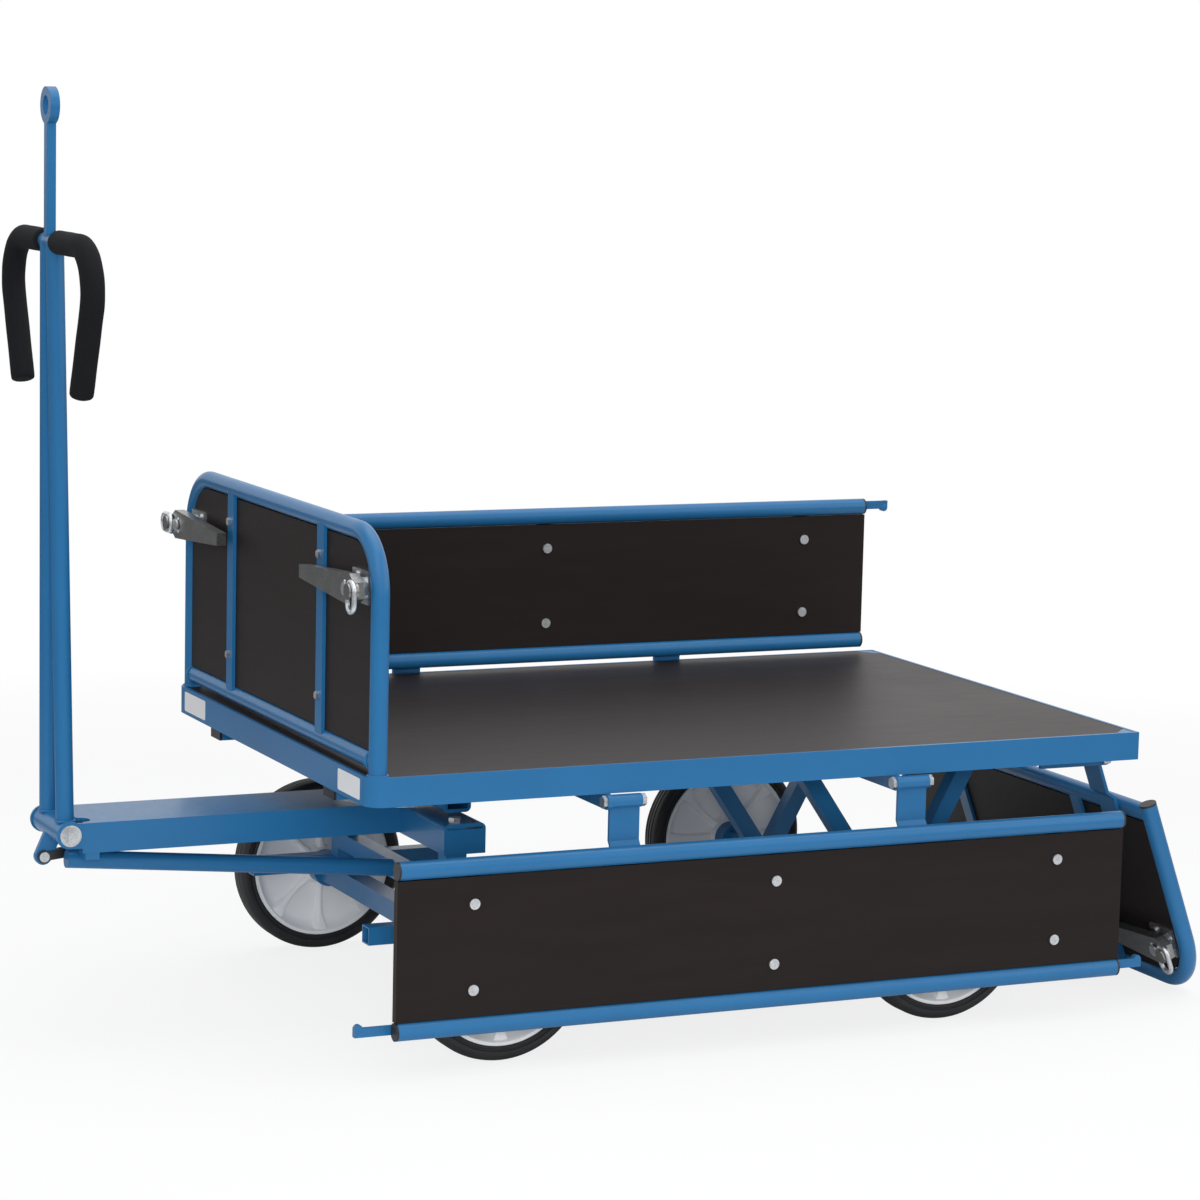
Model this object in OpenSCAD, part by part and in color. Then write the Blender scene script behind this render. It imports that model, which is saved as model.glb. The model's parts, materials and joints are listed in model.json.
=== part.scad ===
// Hand-drawn platform trailer with a turntable front axle, an upright drawbar with a tow eye,
// a fixed headboard, two folding side boards and a folding tailgate.
// X runs along the length (drawbar at -X), Z is up, the ground is Z = 0. Millimetres.

/* [Platform] */
// Platform length over the rim
platform_length = 1190; // [1080:5:1300]
// Platform width over the rim
platform_width = 800; // [740:5:900]
// Height of the rim's top edge over the ground
deck_height = 408; // [395:1:430]
// Height of the rim profile
rim_height = 40; // [36:1:44]
// Wall of the rim profile
rim_wall = 5; // [4:0.5:6]
// Deck board thickness
deck_thickness = 15; // [12:1:18]

/* [Boards] */
// Height of the boards' top rail centre line over the rim
board_rise = 318; // [290:1:345]
// Outer diameter of the frame tubes
tube_d = 25; // [22:0.5:26]
// Wall of the frame tubes
tube_wall = 2; // [1.5:0.5:3]
// Thickness of the board panels
panel_thickness = 12; // [9:1:12]
// Centre-line radius of the headboard and tailgate bends
bend_radius = 80; // [60:1:100]
// Distance between the two rails of a side board
side_rail_pitch = 217.5; // [190:0.5:240]
// Half distance between a side board's two hinges
hinge_half_pitch = 223; // [180:1:280]

/* [Wheels] */
// Wheel diameter
wheel_d = 260; // [240:1:262]
// Tyre width
tyre_width = 44; // [38:1:46]
// Distance between the wheel centre planes of one axle
track = 700; // [680:2:704]
// Position of the front axle along the platform, from its middle
front_axle_x = -385; // [-400:1:-370]
// Position of the rear axle along the platform, from its middle
rear_axle_x = 303; // [285:1:320]

/* [Drawbar] */
// Distance of the drawbar pivot from the kingpin
drawbar_reach = 515; // [510:1:560]
// Height of the tow eye over the pivot
eye_rise = 987; // [900:1:1100]
// Diameter of the tow eye's hole
eye_hole_d = 26; // [22:0.5:30]
// Outer diameter of the foam grips
grip_d = 33; // [30:0.5:36]

/* [Hidden] */
$fn = 48;
eps = 0.01;
// fits
run_gap = 0.05;
gap = 0.3;
hole_gap = 0.2;
// platform
half_l = platform_length / 2;
half_w = platform_width / 2;
rim_bottom = deck_height - rim_height;
rim_corner_r = 25;
deck_drop = 0.5;
deck_bottom = deck_height - deck_drop - deck_thickness;
gusset_leg = 30;
gusset_t = 3;
// chassis rails
rail_y = 236;
rail_w = 40;
rail_h = 40;
rail_wall = 3;
rail_bottom = deck_bottom - rail_h;
rail_in = rail_y - rail_w / 2;
rail_out = rail_y + rail_w / 2;
plug_t = 4;
plug_depth = 12;
plug_fit = 0.1;
// board tubes
tube_r = tube_d / 2;
tube_in_r = tube_r - tube_wall;
post_x = half_l - rim_wall - tube_r - 1.5;
post_y = half_w - rim_wall - tube_r - 0.5;
top_z = deck_height + board_rise;
low_z = deck_height + 19;
bar_w = 25;
bar_t = 5;
bar_front = tube_r - 1;
bar_back = bar_front - bar_t;
bar_sink = 3;
panel_gap = 0.5;
upright_y = 185;
bolt_r = 3;
bolt_head_r = 7.5;
bolt_head_h = 3;
nut_r = 5.8;
nut_h = 5;
bolt_z_low = 485;
bolt_z_high = 679;
cap_t = 3;
cap_depth = 12;
// side boards, drawn raised on the +Y side
side_y = post_y + 4;
side_bottom_z = deck_height + 21;
side_top_z = side_bottom_z + side_rail_pitch;
side_half = post_x - tube_r - 2.5;
side_bar_x = 451;
side_bolt_in = 50;
side_hinge_y = half_w + 1;
side_hinge_z = rim_bottom - 11;
hook_y = side_y + tube_r - 1;
hook_t = 5;
hook_h = 13;
hook_end = 612;
hook_root = 500;
lip = 4;
barrel_r = 9.5;
arm_w = 45;
arm_t = 5;
arm_off = 1.5;
lug_t = 6;
lug_r = 11;
hinge_bolt_r = 5;
hex_r = 9;
hex_h = 6;
bracket_h = 22;
// tailgate, drawn raised
tail_low_z = deck_height + 34;
tail_foot_z = deck_height + 17;
tail_hinge_x = half_l - 5;
tail_hinge_z = rim_bottom - 11;
tail_arm_off = 6.5;
tail_arm_y = 292.5;
tail_fold = 160;
side_fold = 180;
// latches: u runs from the post towards the middle, w outwards, z up from the latch's height
latch_z = 655;
latch_post_gap = 6;
base_l = 58;
base_half_h = 22;
base_t = 4;
pin_u = 18;
stud_r = 5;
boss_r = 14;
boss_h = 11.5;
stud_top = 41;
stud_head_r = 9;
stud_head_t = 3;
lever_low = 22.5;
lever_face = 33;
lever_top = 36.7;
lever_end = 198;
lever_root_half = 21;
lever_tip_half = 9;
lever_skin = 3;
lever_hub_r = 12;
nose_u = -10;
nose_half = 11;
link_plane = 40.5;
link_wire_r = 3.5;
link_bend_r = 12;
link_reach = 15.5;
link_boss_r = 8.2;
link_cap_r = 11;
link_cap_low = 44.5;
link_cap_t = 2.5;
// wheels
wheel_r = wheel_d / 2;
wheel_y = track / 2;
rim_r = wheel_r - 22;
hub_r = 26;
hub_len = 55;
stub_r = 10;
spoke_t = 8;
rim_band = 7;
spokes = 10;
axle_s = 30;
axle_end = wheel_y - hub_len / 2 - 0.5;
collar_r = 26;
collar_len = 26;
axle_nut_r = 15;
axle_nut_h = 8;
washer_r = 17;
washer_t = 2;
// rear struts
strut_y = rail_in - 12.5;
strut_w = 25;
strut_wall = 2.5;
strut_top = rail_bottom;
strut_front_run = 143;
strut_rear_run = 111;
strut_front_w = 30.4;
strut_rear_w = 28.4;
axle_top = wheel_r + axle_s / 2;
cross_x = [front_axle_x, -120, 145, 428];
outrigger_x = [-540, -249, 197, 495];
outrigger_w = 30;
// turntable and front frame
beam_top = 302;
race_r = 105;
race_in_r = 70;
race_t = 5;
bolster_bottom = beam_top + 2 * race_t + gap;
bolster_w = 40;
bolster_half = 200;
sheet = 5;
crossbeam_w = 62;
crossbeam_half = 228;
crossbeam_h = 43;
fold_r = 8;
kingpin_r = 10;
kingpin_head_r = 17;
kingpin_head_h = 9;
king_boss_r = 24;
post_front = -26;
post_back = 5;
post_in = 195;
post_out = 240;
skid_y = 235;
skid_s = 25;
skid_half = 148;
skid_wall = 2;
tie_z = 197;
tie_s = 25;
// pull beam, stay, drawbar
pivot_x = front_axle_x - drawbar_reach;
pivot_z = 286;
beam_half = 65;
beam_side_t = 4;
beam_bottom = 260;
beam_nose_r = 19;
beam_front = 20;
notch_r = 15;
pivot_r = 8;
sleeve_r = 17;
sleeve_half = 60.5;
pivot_washer_r = 15;
pivot_washer_t = 4;
pivot_nut_r = 10.5;
pivot_nut_h = 10;
stay_y = -23;
stay_front_z = 245;
stay_front_dx = 7;
stay_back_z = 199;
tube_foot_y = 40;
tube_head_y = 13;
tube_lean = 9;
vent_r = 2;
handle_z = pivot_z + 805;
handle_r = 11;
handle_lap = 1;
handle_step = 0.2;
handle_fit = 0.1;
grip_end_t = 5;
handle_grip_start = 30;
grip_r = grip_d / 2;
arch_y = 127;
arch_r = 60;
arch_turn = 113.5;
leg_len = 118;
eye_x = pivot_x - 12;
eye_z = pivot_z + eye_rise;
eye_r = 25;
eye_t = 13;
spring_y = 6;
spring_pin_x = pivot_x - 18;
spring_pin_z = pivot_z - 41;
spring_pin_r = 5;
spring_pin_head_r = 7;
spring_lug_half = 4;
spring_lug_r = 12;
anchor_x = pivot_x + 340;
anchor_z = pivot_z - 2;
rod_r = 4;
rod_len = 185;
cyl_r = 14;
cyl_in_r = 12;
cyl_len = 200;
fork_half = 8.5;
fork_in = 4.5;
fork_h = 6;
fork_web = 12;
guide_t = 14;
fork_start = 20;
fork_r = 9;
spring_dx = anchor_x - spring_pin_x;
spring_dz = anchor_z - spring_pin_z;
spring_tilt = atan2(spring_dz, spring_dx);
// frame shift: the origin is under the middle of the whole object's box
mid_x = -94.06;
mid_y = -8.25;

blue = [0.12, 0.35, 0.58];
black_ply = [0.10, 0.09, 0.09];
zinc = [0.72, 0.73, 0.74];
black_plastic = [0.05, 0.05, 0.05];
rubber = [0.06, 0.06, 0.06];
foam = [0.10, 0.10, 0.11];
grey_plastic = [0.78, 0.79, 0.81];

// ---- helpers -------------------------------------------------------------------------------
module box(x0, x1, y0, y1, z0, z1) {
    translate([x0, y0, z0]) cube([x1 - x0, y1 - y0, z1 - z0]);
}
module rod_x(x0, x1, y, z, r) {
    translate([x0, y, z]) rotate([0, 90, 0]) cylinder(h = x1 - x0, r = r);
}
module rod_y(y0, y1, x, z, r) {
    translate([x, y0, z]) rotate([-90, 0, 0]) cylinder(h = y1 - y0, r = r);
}
module rod_z(z0, z1, x, y, r) {
    translate([x, y, z0]) cylinder(h = z1 - z0, r = r);
}
module hex_x(x0, x1, y, z, r) {
    translate([x0, y, z]) rotate([0, 90, 0]) cylinder(h = x1 - x0, r = r, $fn = 6);
}
module hex_y(y0, y1, x, z, r) {
    translate([x, y0, z]) rotate([-90, 0, 0]) cylinder(h = y1 - y0, r = r, $fn = 6);
}
module hex_z(z0, z1, x, y, r) {
    translate([x, y, z0]) cylinder(h = z1 - z0, r = r, $fn = 6);
}
// profile drawn in X and Z, extruded along Y from y0 to y1
module along_y(y0, y1) {
    translate([0, y1, 0]) rotate([90, 0, 0]) linear_extrude(height = y1 - y0) children();
}
// profile drawn in Y and Z, extruded along X from x0 to x1
module along_x(x0, x1) {
    translate([x0, 0, 0]) rotate([90, 0, 90]) linear_extrude(height = x1 - x0) children();
}
module place() {
    translate([-mid_x, -mid_y, 0]) children();
}
module both_sides() {
    for (s = [0, 1]) mirror([0, s, 0]) children();
}
module bolt_along_x(x_nut, x_head, y, z, r, hr, hh, nr, nh, s) {
    // s = 1: the head is at the larger x
    rod_x(min(x_nut, x_head), max(x_nut, x_head), y, z, r);
    rod_x(s > 0 ? x_head : x_head - hh, s > 0 ? x_head + hh : x_head, y, z, hr);
    hex_x(s > 0 ? x_nut - nh : x_nut, s > 0 ? x_nut : x_nut + nh, y, z, nr);
}

// ---- platform ------------------------------------------------------------------------------
module outline(inset, r) {
    // platform outline with round front corners and square rear corners
    translate([-half_l + inset + r, -half_w + inset]) square([2 * half_l - 2 * inset - r, 2 * (half_w - inset)]);
    translate([-half_l + inset, -half_w + inset + r]) square([r + eps, 2 * (half_w - inset - r)]);
    for (s = [-1, 1]) translate([-half_l + inset + r, s * (half_w - inset - r)]) circle(r = r);
}
module gusset(extra) {
    for (s = [-1, 1]) {
        translate([half_l - rim_wall, s * (half_w - rim_wall), 0])
            linear_extrude(height = 50) polygon([[0, 0], [-gusset_leg - extra, 0], [0, -s * (gusset_leg + extra)]]);
    }
}
module head_posts_cut(r) {
    for (s = [-1, 1]) rod_z(deck_bottom, deck_height + 1, -post_x, s * post_y, r);
}
module rim() {
    place() color(blue) difference() {
        union() {
            difference() {
                translate([0, 0, rim_bottom]) linear_extrude(height = rim_height) outline(0, rim_corner_r);
                translate([0, 0, rim_bottom - 1]) linear_extrude(height = rim_height + 2)
                    outline(rim_wall, rim_corner_r - rim_wall);
            }
            intersection() {
                translate([0, 0, deck_height - gusset_t]) gusset(0);
                box(0, half_l, -half_w, half_w, deck_height - gusset_t, deck_height - deck_drop);
            }
        }
        head_posts_cut(tube_r);
    }
}
module deck() {
    place() color(black_ply) difference() {
        translate([0, 0, deck_bottom]) linear_extrude(height = deck_thickness)
            outline(rim_wall, rim_corner_r - rim_wall);
        translate([0, 0, deck_height - gusset_t]) gusset(0);
        head_posts_cut(tube_r);
    }
}
module long_rails() {
    place() color(blue) both_sides() difference() {
        box(-half_l + rim_wall + plug_t, half_l - rim_wall - plug_t, rail_in, rail_out, rail_bottom, deck_bottom);
        box(-half_l, half_l, rail_in + rail_wall, rail_out - rail_wall, rail_bottom + rail_wall,
            deck_bottom - rail_wall);
    }
}
module rail_plugs() {
    place() color(black_plastic) both_sides() for (s = [0, 1]) mirror([s, 0, 0]) {
        box(half_l - rim_wall - plug_t, half_l - rim_wall, rail_in, rail_out, rail_bottom, deck_bottom);
        box(half_l - rim_wall - plug_t - plug_depth, half_l - rim_wall - plug_t + eps,
            rail_in + rail_wall + plug_fit, rail_out - rail_wall - plug_fit,
            rail_bottom + rail_wall + plug_fit, deck_bottom - rail_wall - plug_fit);
    }
}
module cross_members() {
    place() color(blue) {
        for (x = cross_x) difference() {
            box(x - rail_w / 2, x + rail_w / 2, -rail_in, rail_in, rail_bottom, deck_bottom);
            box(x - rail_w / 2 + rail_wall, x + rail_w / 2 - rail_wall, -rail_in - 1, rail_in + 1,
                rail_bottom + rail_wall, deck_bottom - rail_wall);
        }
        both_sides() for (x = outrigger_x) difference() {
            box(x - outrigger_w / 2, x + outrigger_w / 2, rail_out, half_w - rim_wall, rim_bottom, deck_bottom);
            box(x - outrigger_w / 2 + rail_wall, x + outrigger_w / 2 - rail_wall, rail_out - 1, half_w,
                rim_bottom + rail_wall, deck_bottom - rail_wall);
        }
    }
}
module bolster() {
    place() color(blue) difference() {
        along_y(-bolster_half, bolster_half) difference() {
            union() {
                translate([front_axle_x - bolster_w / 2, bolster_bottom + fold_r])
                    square([bolster_w, rail_bottom - bolster_bottom - fold_r]);
                translate([front_axle_x - bolster_w / 2 + fold_r, bolster_bottom])
                    square([bolster_w - 2 * fold_r, fold_r + eps]);
                for (s = [-1, 1]) translate([front_axle_x + s * (bolster_w / 2 - fold_r), bolster_bottom + fold_r])
                    circle(r = fold_r);
            }
            translate([front_axle_x - bolster_w / 2 + sheet, bolster_bottom + sheet])
                square([bolster_w - 2 * sheet, rail_bottom]);
        }
        rod_z(bolster_bottom - 1, bolster_bottom + sheet + 1, front_axle_x, 0, kingpin_r + run_gap);
    }
}
module upper_race() {
    place() color(zinc) difference() {
        rod_z(beam_top + race_t + gap, bolster_bottom, front_axle_x, 0, race_r);
        rod_z(beam_top, bolster_bottom + 1, front_axle_x, 0, race_in_r);
    }
}

// ---- hinges on the platform ----------------------------------------------------------------
module side_bracket(x_lug) {
    along_x(x_lug - lug_t, x_lug) difference() {
        union() {
            translate([rail_out, rim_bottom - bracket_h]) square([side_hinge_y - rail_out, bracket_h]);
            translate([side_hinge_y, side_hinge_z]) circle(r = lug_r);
        }
        translate([side_hinge_y, side_hinge_z]) circle(r = hinge_bolt_r + hole_gap);
    }
}
module tail_bracket() {
    y0 = tail_arm_y + arm_w / 2 + 0.5;
    along_y(y0, y0 + lug_t) difference() {
        union() {
            translate([outrigger_x[3] - outrigger_w / 2, rim_bottom - bracket_h])
                square([tail_hinge_x - outrigger_x[3] + outrigger_w / 2, bracket_h]);
            translate([tail_hinge_x, tail_hinge_z]) circle(r = lug_r);
        }
        translate([tail_hinge_x, tail_hinge_z]) circle(r = hinge_bolt_r + hole_gap);
    }
}
module hinge_brackets() {
    place() color(blue) both_sides() {
        for (s = [-1, 1]) side_bracket(s * hinge_half_pitch - arm_w / 2 - 0.5);
        tail_bracket();
    }
}
module hinge_bolts() {
    place() color(zinc) both_sides() {
        for (s = [-1, 1]) {
            x0 = s * hinge_half_pitch - arm_w / 2 - 0.5 - lug_t;
            x1 = s * hinge_half_pitch + arm_w / 2 + 0.5;
            rod_x(x0, x1, side_hinge_y, side_hinge_z, hinge_bolt_r);
            hex_x(x0 - hex_h, x0, side_hinge_y, side_hinge_z, hex_r);
            hex_x(x1, x1 + hex_h, side_hinge_y, side_hinge_z, hex_r);
        }
        y0 = tail_arm_y - arm_w / 2 - 0.5;
        y1 = tail_arm_y + arm_w / 2 + 0.5 + lug_t;
        rod_y(y0, y1, tail_hinge_x, tail_hinge_z, hinge_bolt_r);
        hex_y(y0 - hex_h, y0, tail_hinge_x, tail_hinge_z, hex_r);
        hex_y(y1, y1 + hex_h, tail_hinge_x, tail_hinge_z, hex_r);
    }
}

// ---- rear axle -----------------------------------------------------------------------------
module rear_struts() {
    place() color(blue) both_sides() {
        difference() {
            along_y(strut_y - strut_w / 2, strut_y + strut_w / 2)
                polygon([[rear_axle_x - strut_front_w, axle_top], [rear_axle_x, axle_top],
                    [rear_axle_x - strut_front_run, strut_top],
                    [rear_axle_x - strut_front_run - strut_front_w, strut_top]]);
            along_y(strut_y - strut_w / 2 + strut_wall, strut_y + strut_w / 2 - strut_wall)
                polygon([[rear_axle_x - strut_front_w + 3, axle_top - eps], [rear_axle_x - 3, axle_top - eps],
                    [rear_axle_x - 3 - strut_front_run, strut_top + eps],
                    [rear_axle_x - strut_front_run - strut_front_w + 3, strut_top + eps]]);
        }
        difference() {
            along_y(strut_y - strut_w / 2, strut_y + strut_w / 2)
                polygon([[rear_axle_x, axle_top], [rear_axle_x + strut_rear_w, axle_top],
                    [rear_axle_x + strut_rear_run + strut_rear_w, strut_top],
                    [rear_axle_x + strut_rear_run, strut_top]]);
            along_y(strut_y - strut_w / 2 + strut_wall, strut_y + strut_w / 2 - strut_wall)
                polygon([[rear_axle_x + 3, axle_top - eps], [rear_axle_x + strut_rear_w - 3, axle_top - eps],
                    [rear_axle_x + strut_rear_run + strut_rear_w - 3, strut_top + eps],
                    [rear_axle_x + strut_rear_run + 3, strut_top + eps]]);
        }
    }
}
module axle_beam(x) {
    difference() {
        union() {
            box(x - axle_s / 2, x + axle_s / 2, -axle_end, axle_end, wheel_r - axle_s / 2, axle_top);
            both_sides() rod_y(axle_end - collar_len, axle_end, x, wheel_r, collar_r);
        }
        box(x - axle_s / 2 + rail_wall, x + axle_s / 2 - rail_wall, -axle_end + collar_len, axle_end - collar_len,
            wheel_r - axle_s / 2 + rail_wall, axle_top - rail_wall);
    }
    both_sides() rod_y(axle_end - eps, axle_end + hub_len + washer_t + axle_nut_h + 3, x, wheel_r, stub_r);
}
module axle_nuts(x) {
    both_sides() difference() {
        union() {
            rod_y(axle_end + hub_len + 1, axle_end + hub_len + 1 + washer_t, x, wheel_r, washer_r);
            hex_y(axle_end + hub_len + 1 + washer_t - eps, axle_end + hub_len + 1 + washer_t + axle_nut_h,
                x, wheel_r, axle_nut_r);
        }
        rod_y(axle_end + hub_len, axle_end + hub_len + washer_t + axle_nut_h + 5, x, wheel_r, stub_r);
    }
}
module rear_axle() {
    place() color(blue) axle_beam(rear_axle_x);
}
module rear_axle_nuts() {
    place() color(zinc) axle_nuts(rear_axle_x);
}
module tyre(x, s) {
    place() color(rubber) translate([x, s * wheel_y, wheel_r]) rotate([90, 0, 0])
        rotate_extrude($fn = 96) difference() {
            union() {
                translate([rim_r, -tyre_width / 2 + 5]) square([wheel_r - rim_r - 9, tyre_width - 10]);
                translate([wheel_r - 9 - eps, -tyre_width / 2 + 9]) square([9 + eps, tyre_width - 18]);
                translate([rim_r, -tyre_width / 2]) square([wheel_r - rim_r - 9, tyre_width]);
                for (t = [-1, 1]) translate([wheel_r - 9, t * (tyre_width / 2 - 9)]) circle(r = 9);
            }
            for (t = [-1, 0, 1]) translate([wheel_r - 2, t * 9 - 1.5]) square([4, 3]);
        }
}
module wheel_centre(x, s) {
    place() color(grey_plastic) translate([x, s * wheel_y, wheel_r]) rotate([90, 0, 0]) difference() {
        union() {
            rotate_extrude($fn = 96) translate([rim_r - rim_band, -tyre_width / 2 + 1])
                square([rim_band, tyre_width - 2]);
            rotate_extrude($fn = 96) translate([hub_r - 2, -spoke_t / 2])
                square([rim_r - rim_band - hub_r + 4, spoke_t]);
            translate([0, 0, -hub_len / 2]) cylinder(h = hub_len, r = hub_r);
            for (i = [0 : spokes - 1]) rotate([0, 0, i * 360 / spokes])
                translate([hub_r - 3, -2.5, -14]) cube([rim_r - rim_band - hub_r + 5, 5, 28]);
        }
        translate([0, 0, -hub_len]) cylinder(h = 2 * hub_len, r = stub_r + run_gap);
    }
}
module tyre_front_near() { tyre(front_axle_x, -1); }
module tyre_front_far() { tyre(front_axle_x, 1); }
module tyre_rear_near() { tyre(rear_axle_x, -1); }
module tyre_rear_far() { tyre(rear_axle_x, 1); }
module centre_front_near() { wheel_centre(front_axle_x, -1); }
module centre_front_far() { wheel_centre(front_axle_x, 1); }
module centre_rear_near() { wheel_centre(rear_axle_x, -1); }
module centre_rear_far() { wheel_centre(rear_axle_x, 1); }

// ---- headboard and tailgate ----------------------------------------------------------------
// U-shaped tube in the plane X = x, from foot_z up to top_z, radius r
module u_tube(x, foot_z, r) {
    both_sides() {
        rod_z(foot_z, top_z - bend_radius, x, post_y, r);
        translate([x, post_y - bend_radius, top_z - bend_radius]) rotate([90, 0, 90])
            rotate_extrude(angle = 90) translate([bend_radius, 0]) circle(r = r);
    }
    rod_y(-post_y + bend_radius, post_y - bend_radius, x, top_z, r);
}
// one end board: x is the tube plane, s = -1 puts the outside at -X
module end_frame(x, s, foot_z, low) {
    difference() {
        union() {
            u_tube(x, foot_z, tube_r);
            rod_y(-post_y, post_y, x, low, tube_r);
            both_sides() box(min(x + s * bar_back, x + s * bar_front), max(x + s * bar_back, x + s * bar_front),
                upright_y - bar_w / 2, upright_y + bar_w / 2, low + bar_sink, top_z - bar_sink);
            children();
        }
        u_tube(x, foot_z - 1, tube_in_r);
        rod_y(-post_y, post_y, x, low, tube_in_r);
        both_sides() for (z = [bolt_z_low, bolt_z_high])
            rod_x(min(x, x + s * 20), max(x, x + s * 20), upright_y, z, bolt_r + hole_gap);
    }
}
module end_panel(x, s, low) {
    x_out = x + s * bar_back;
    x_in = x_out - s * panel_thickness;
    y1 = post_y - tube_r - panel_gap;
    z0 = low + tube_r + panel_gap;
    z1 = top_z - tube_r - panel_gap;
    r = bend_radius - tube_r - panel_gap;
    difference() {
        along_x(min(x_out, x_in), max(x_out, x_in)) {
            translate([-y1, z0]) square([2 * y1, z1 - z0 - r]);
            translate([-y1 + r, z0]) square([2 * (y1 - r), z1 - z0]);
            for (t = [-1, 1]) translate([t * (y1 - r), z1 - r]) circle(r = r);
        }
        both_sides() for (z = [bolt_z_low, bolt_z_high])
            rod_x(min(x_out, x_in) - 1, max(x_out, x_in) + 1, upright_y, z, bolt_r + hole_gap);
    }
}
module end_bolts(x, s) {
    x_nut = x + s * bar_front;
    x_head = x + s * bar_back - s * panel_thickness;
    both_sides() for (z = [bolt_z_low, bolt_z_high])
        bolt_along_x(x_nut, x_head, upright_y, z, bolt_r, bolt_head_r, bolt_head_h, nut_r, nut_h, -s);
}
module head_frame() {
    place() color(blue) end_frame(-post_x, -1, deck_bottom, low_z);
}
module head_panel() {
    place() color(black_ply) end_panel(-post_x, -1, low_z);
}
module head_bolts() {
    place() color(zinc) end_bolts(-post_x, -1);
}
// turns the raised tailgate to its folded rest position
module folded_tail() {
    translate([tail_hinge_x, 0, tail_hinge_z]) rotate([0, tail_fold, 0])
        translate([-tail_hinge_x, 0, -tail_hinge_z]) children();
}
module tail_arm() {
    x0 = tail_hinge_x + tail_arm_off;
    x1 = post_x + tube_r - 1;
    y0 = tail_arm_y - arm_w / 2;
    y1 = tail_arm_y + arm_w / 2;
    along_y(y0, y1) polygon([[x0, tail_hinge_z - 2], [x0 + arm_t, tail_hinge_z - 2],
        [x0 + arm_t, deck_height + 4], [x1 + arm_t, deck_height + 16], [x1 + arm_t, tail_low_z + 12],
        [x1, tail_low_z + 12], [x1, deck_height + 16], [x0, deck_height + 4]]);
    rod_y(y0, y1, tail_hinge_x, tail_hinge_z, barrel_r);
}
module tail_frame() {
    place() color(blue) folded_tail() difference() {
        union() {
            end_frame(post_x, 1, tail_foot_z + cap_t, tail_low_z);
            both_sides() difference() {
                tail_arm();
                rod_y(0, half_w, post_x, tail_low_z, tube_in_r);
            }
        }
        both_sides() rod_y(tail_arm_y - arm_w, tail_arm_y + arm_w, tail_hinge_x, tail_hinge_z,
            hinge_bolt_r + run_gap);
    }
}
module tail_panel() {
    place() color(black_ply) folded_tail() end_panel(post_x, 1, tail_low_z);
}
module tail_bolts() {
    place() color(zinc) folded_tail() end_bolts(post_x, 1);
}
module tail_caps() {
    place() color(black_plastic) folded_tail() both_sides() {
        rod_z(tail_foot_z, tail_foot_z + cap_t, post_x, post_y, tube_r);
        rod_z(tail_foot_z + cap_t - eps, tail_foot_z + cap_t + 5, post_x, post_y, tube_in_r - plug_fit);
    }
}

// ---- side boards, drawn raised on +Y -------------------------------------------------------
module side_arm(x) {
    y0 = side_hinge_y + arm_off;
    y1 = side_y + tube_r - 1;
    along_x(x - arm_w / 2, x + arm_w / 2) polygon([[y0, side_hinge_z - 2], [y0 + arm_t, side_hinge_z - 2],
        [y0 + arm_t, deck_height + 4], [y1 + arm_t, deck_height + 11], [y1 + arm_t, side_bottom_z + 12],
        [y1, side_bottom_z + 12], [y1, deck_height + 11], [y0, deck_height + 4]]);
    rod_x(x - arm_w / 2, x + arm_w / 2, side_hinge_y, side_hinge_z, barrel_r);
}
module side_frame() {
    difference() {
        union() {
            for (z = [side_bottom_z, side_top_z]) rod_x(-side_half + cap_t, side_half - cap_t, side_y, z, tube_r);
            for (x = [-side_bar_x, 0, side_bar_x])
                box(x - bar_w / 2, x + bar_w / 2, side_y + bar_back, side_y + bar_front,
                    side_bottom_z + bar_sink, side_top_z - bar_sink);
            for (s = [-1, 1]) {
                side_arm(s * hinge_half_pitch);
                box(min(s * hook_root, s * hook_end), max(s * hook_root, s * hook_end), hook_y, hook_y + hook_t,
                    side_top_z - hook_h / 2, side_top_z + hook_h / 2);
                box(min(s * (hook_end - lip), s * hook_end), max(s * (hook_end - lip), s * hook_end),
                    hook_y, hook_y + hook_t + lip, side_top_z - hook_h / 2, side_top_z + hook_h / 2);
            }
        }
        for (z = [side_bottom_z, side_top_z]) rod_x(-half_l, half_l, side_y, z, tube_in_r);
        for (x = [-side_bar_x, 0, side_bar_x], z = [side_bottom_z + side_bolt_in, side_top_z - side_bolt_in])
            rod_y(side_y, side_y + 20, x, z, bolt_r + hole_gap);
        for (s = [-1, 1]) rod_x(s * hinge_half_pitch - arm_w, s * hinge_half_pitch + arm_w,
            side_hinge_y, side_hinge_z, hinge_bolt_r + run_gap);
    }
}
module side_panel() {
    y1 = side_y + bar_back;
    difference() {
        box(-side_half, side_half, y1 - panel_thickness, y1, side_bottom_z + tube_r + panel_gap,
            side_top_z - tube_r - panel_gap);
        for (x = [-side_bar_x, 0, side_bar_x], z = [side_bottom_z + side_bolt_in, side_top_z - side_bolt_in])
            rod_y(y1 - panel_thickness - 1, y1 + 1, x, z, bolt_r + hole_gap);
    }
}
module side_bolts() {
    y_head = side_y + bar_back - panel_thickness;
    y_nut = side_y + bar_front;
    for (x = [-side_bar_x, 0, side_bar_x], z = [side_bottom_z + side_bolt_in, side_top_z - side_bolt_in]) {
        rod_y(y_head, y_nut, x, z, bolt_r);
        rod_y(y_head - bolt_head_h, y_head, x, z, bolt_head_r);
        hex_y(y_nut, y_nut + nut_h, x, z, nut_r);
    }
}
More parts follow.
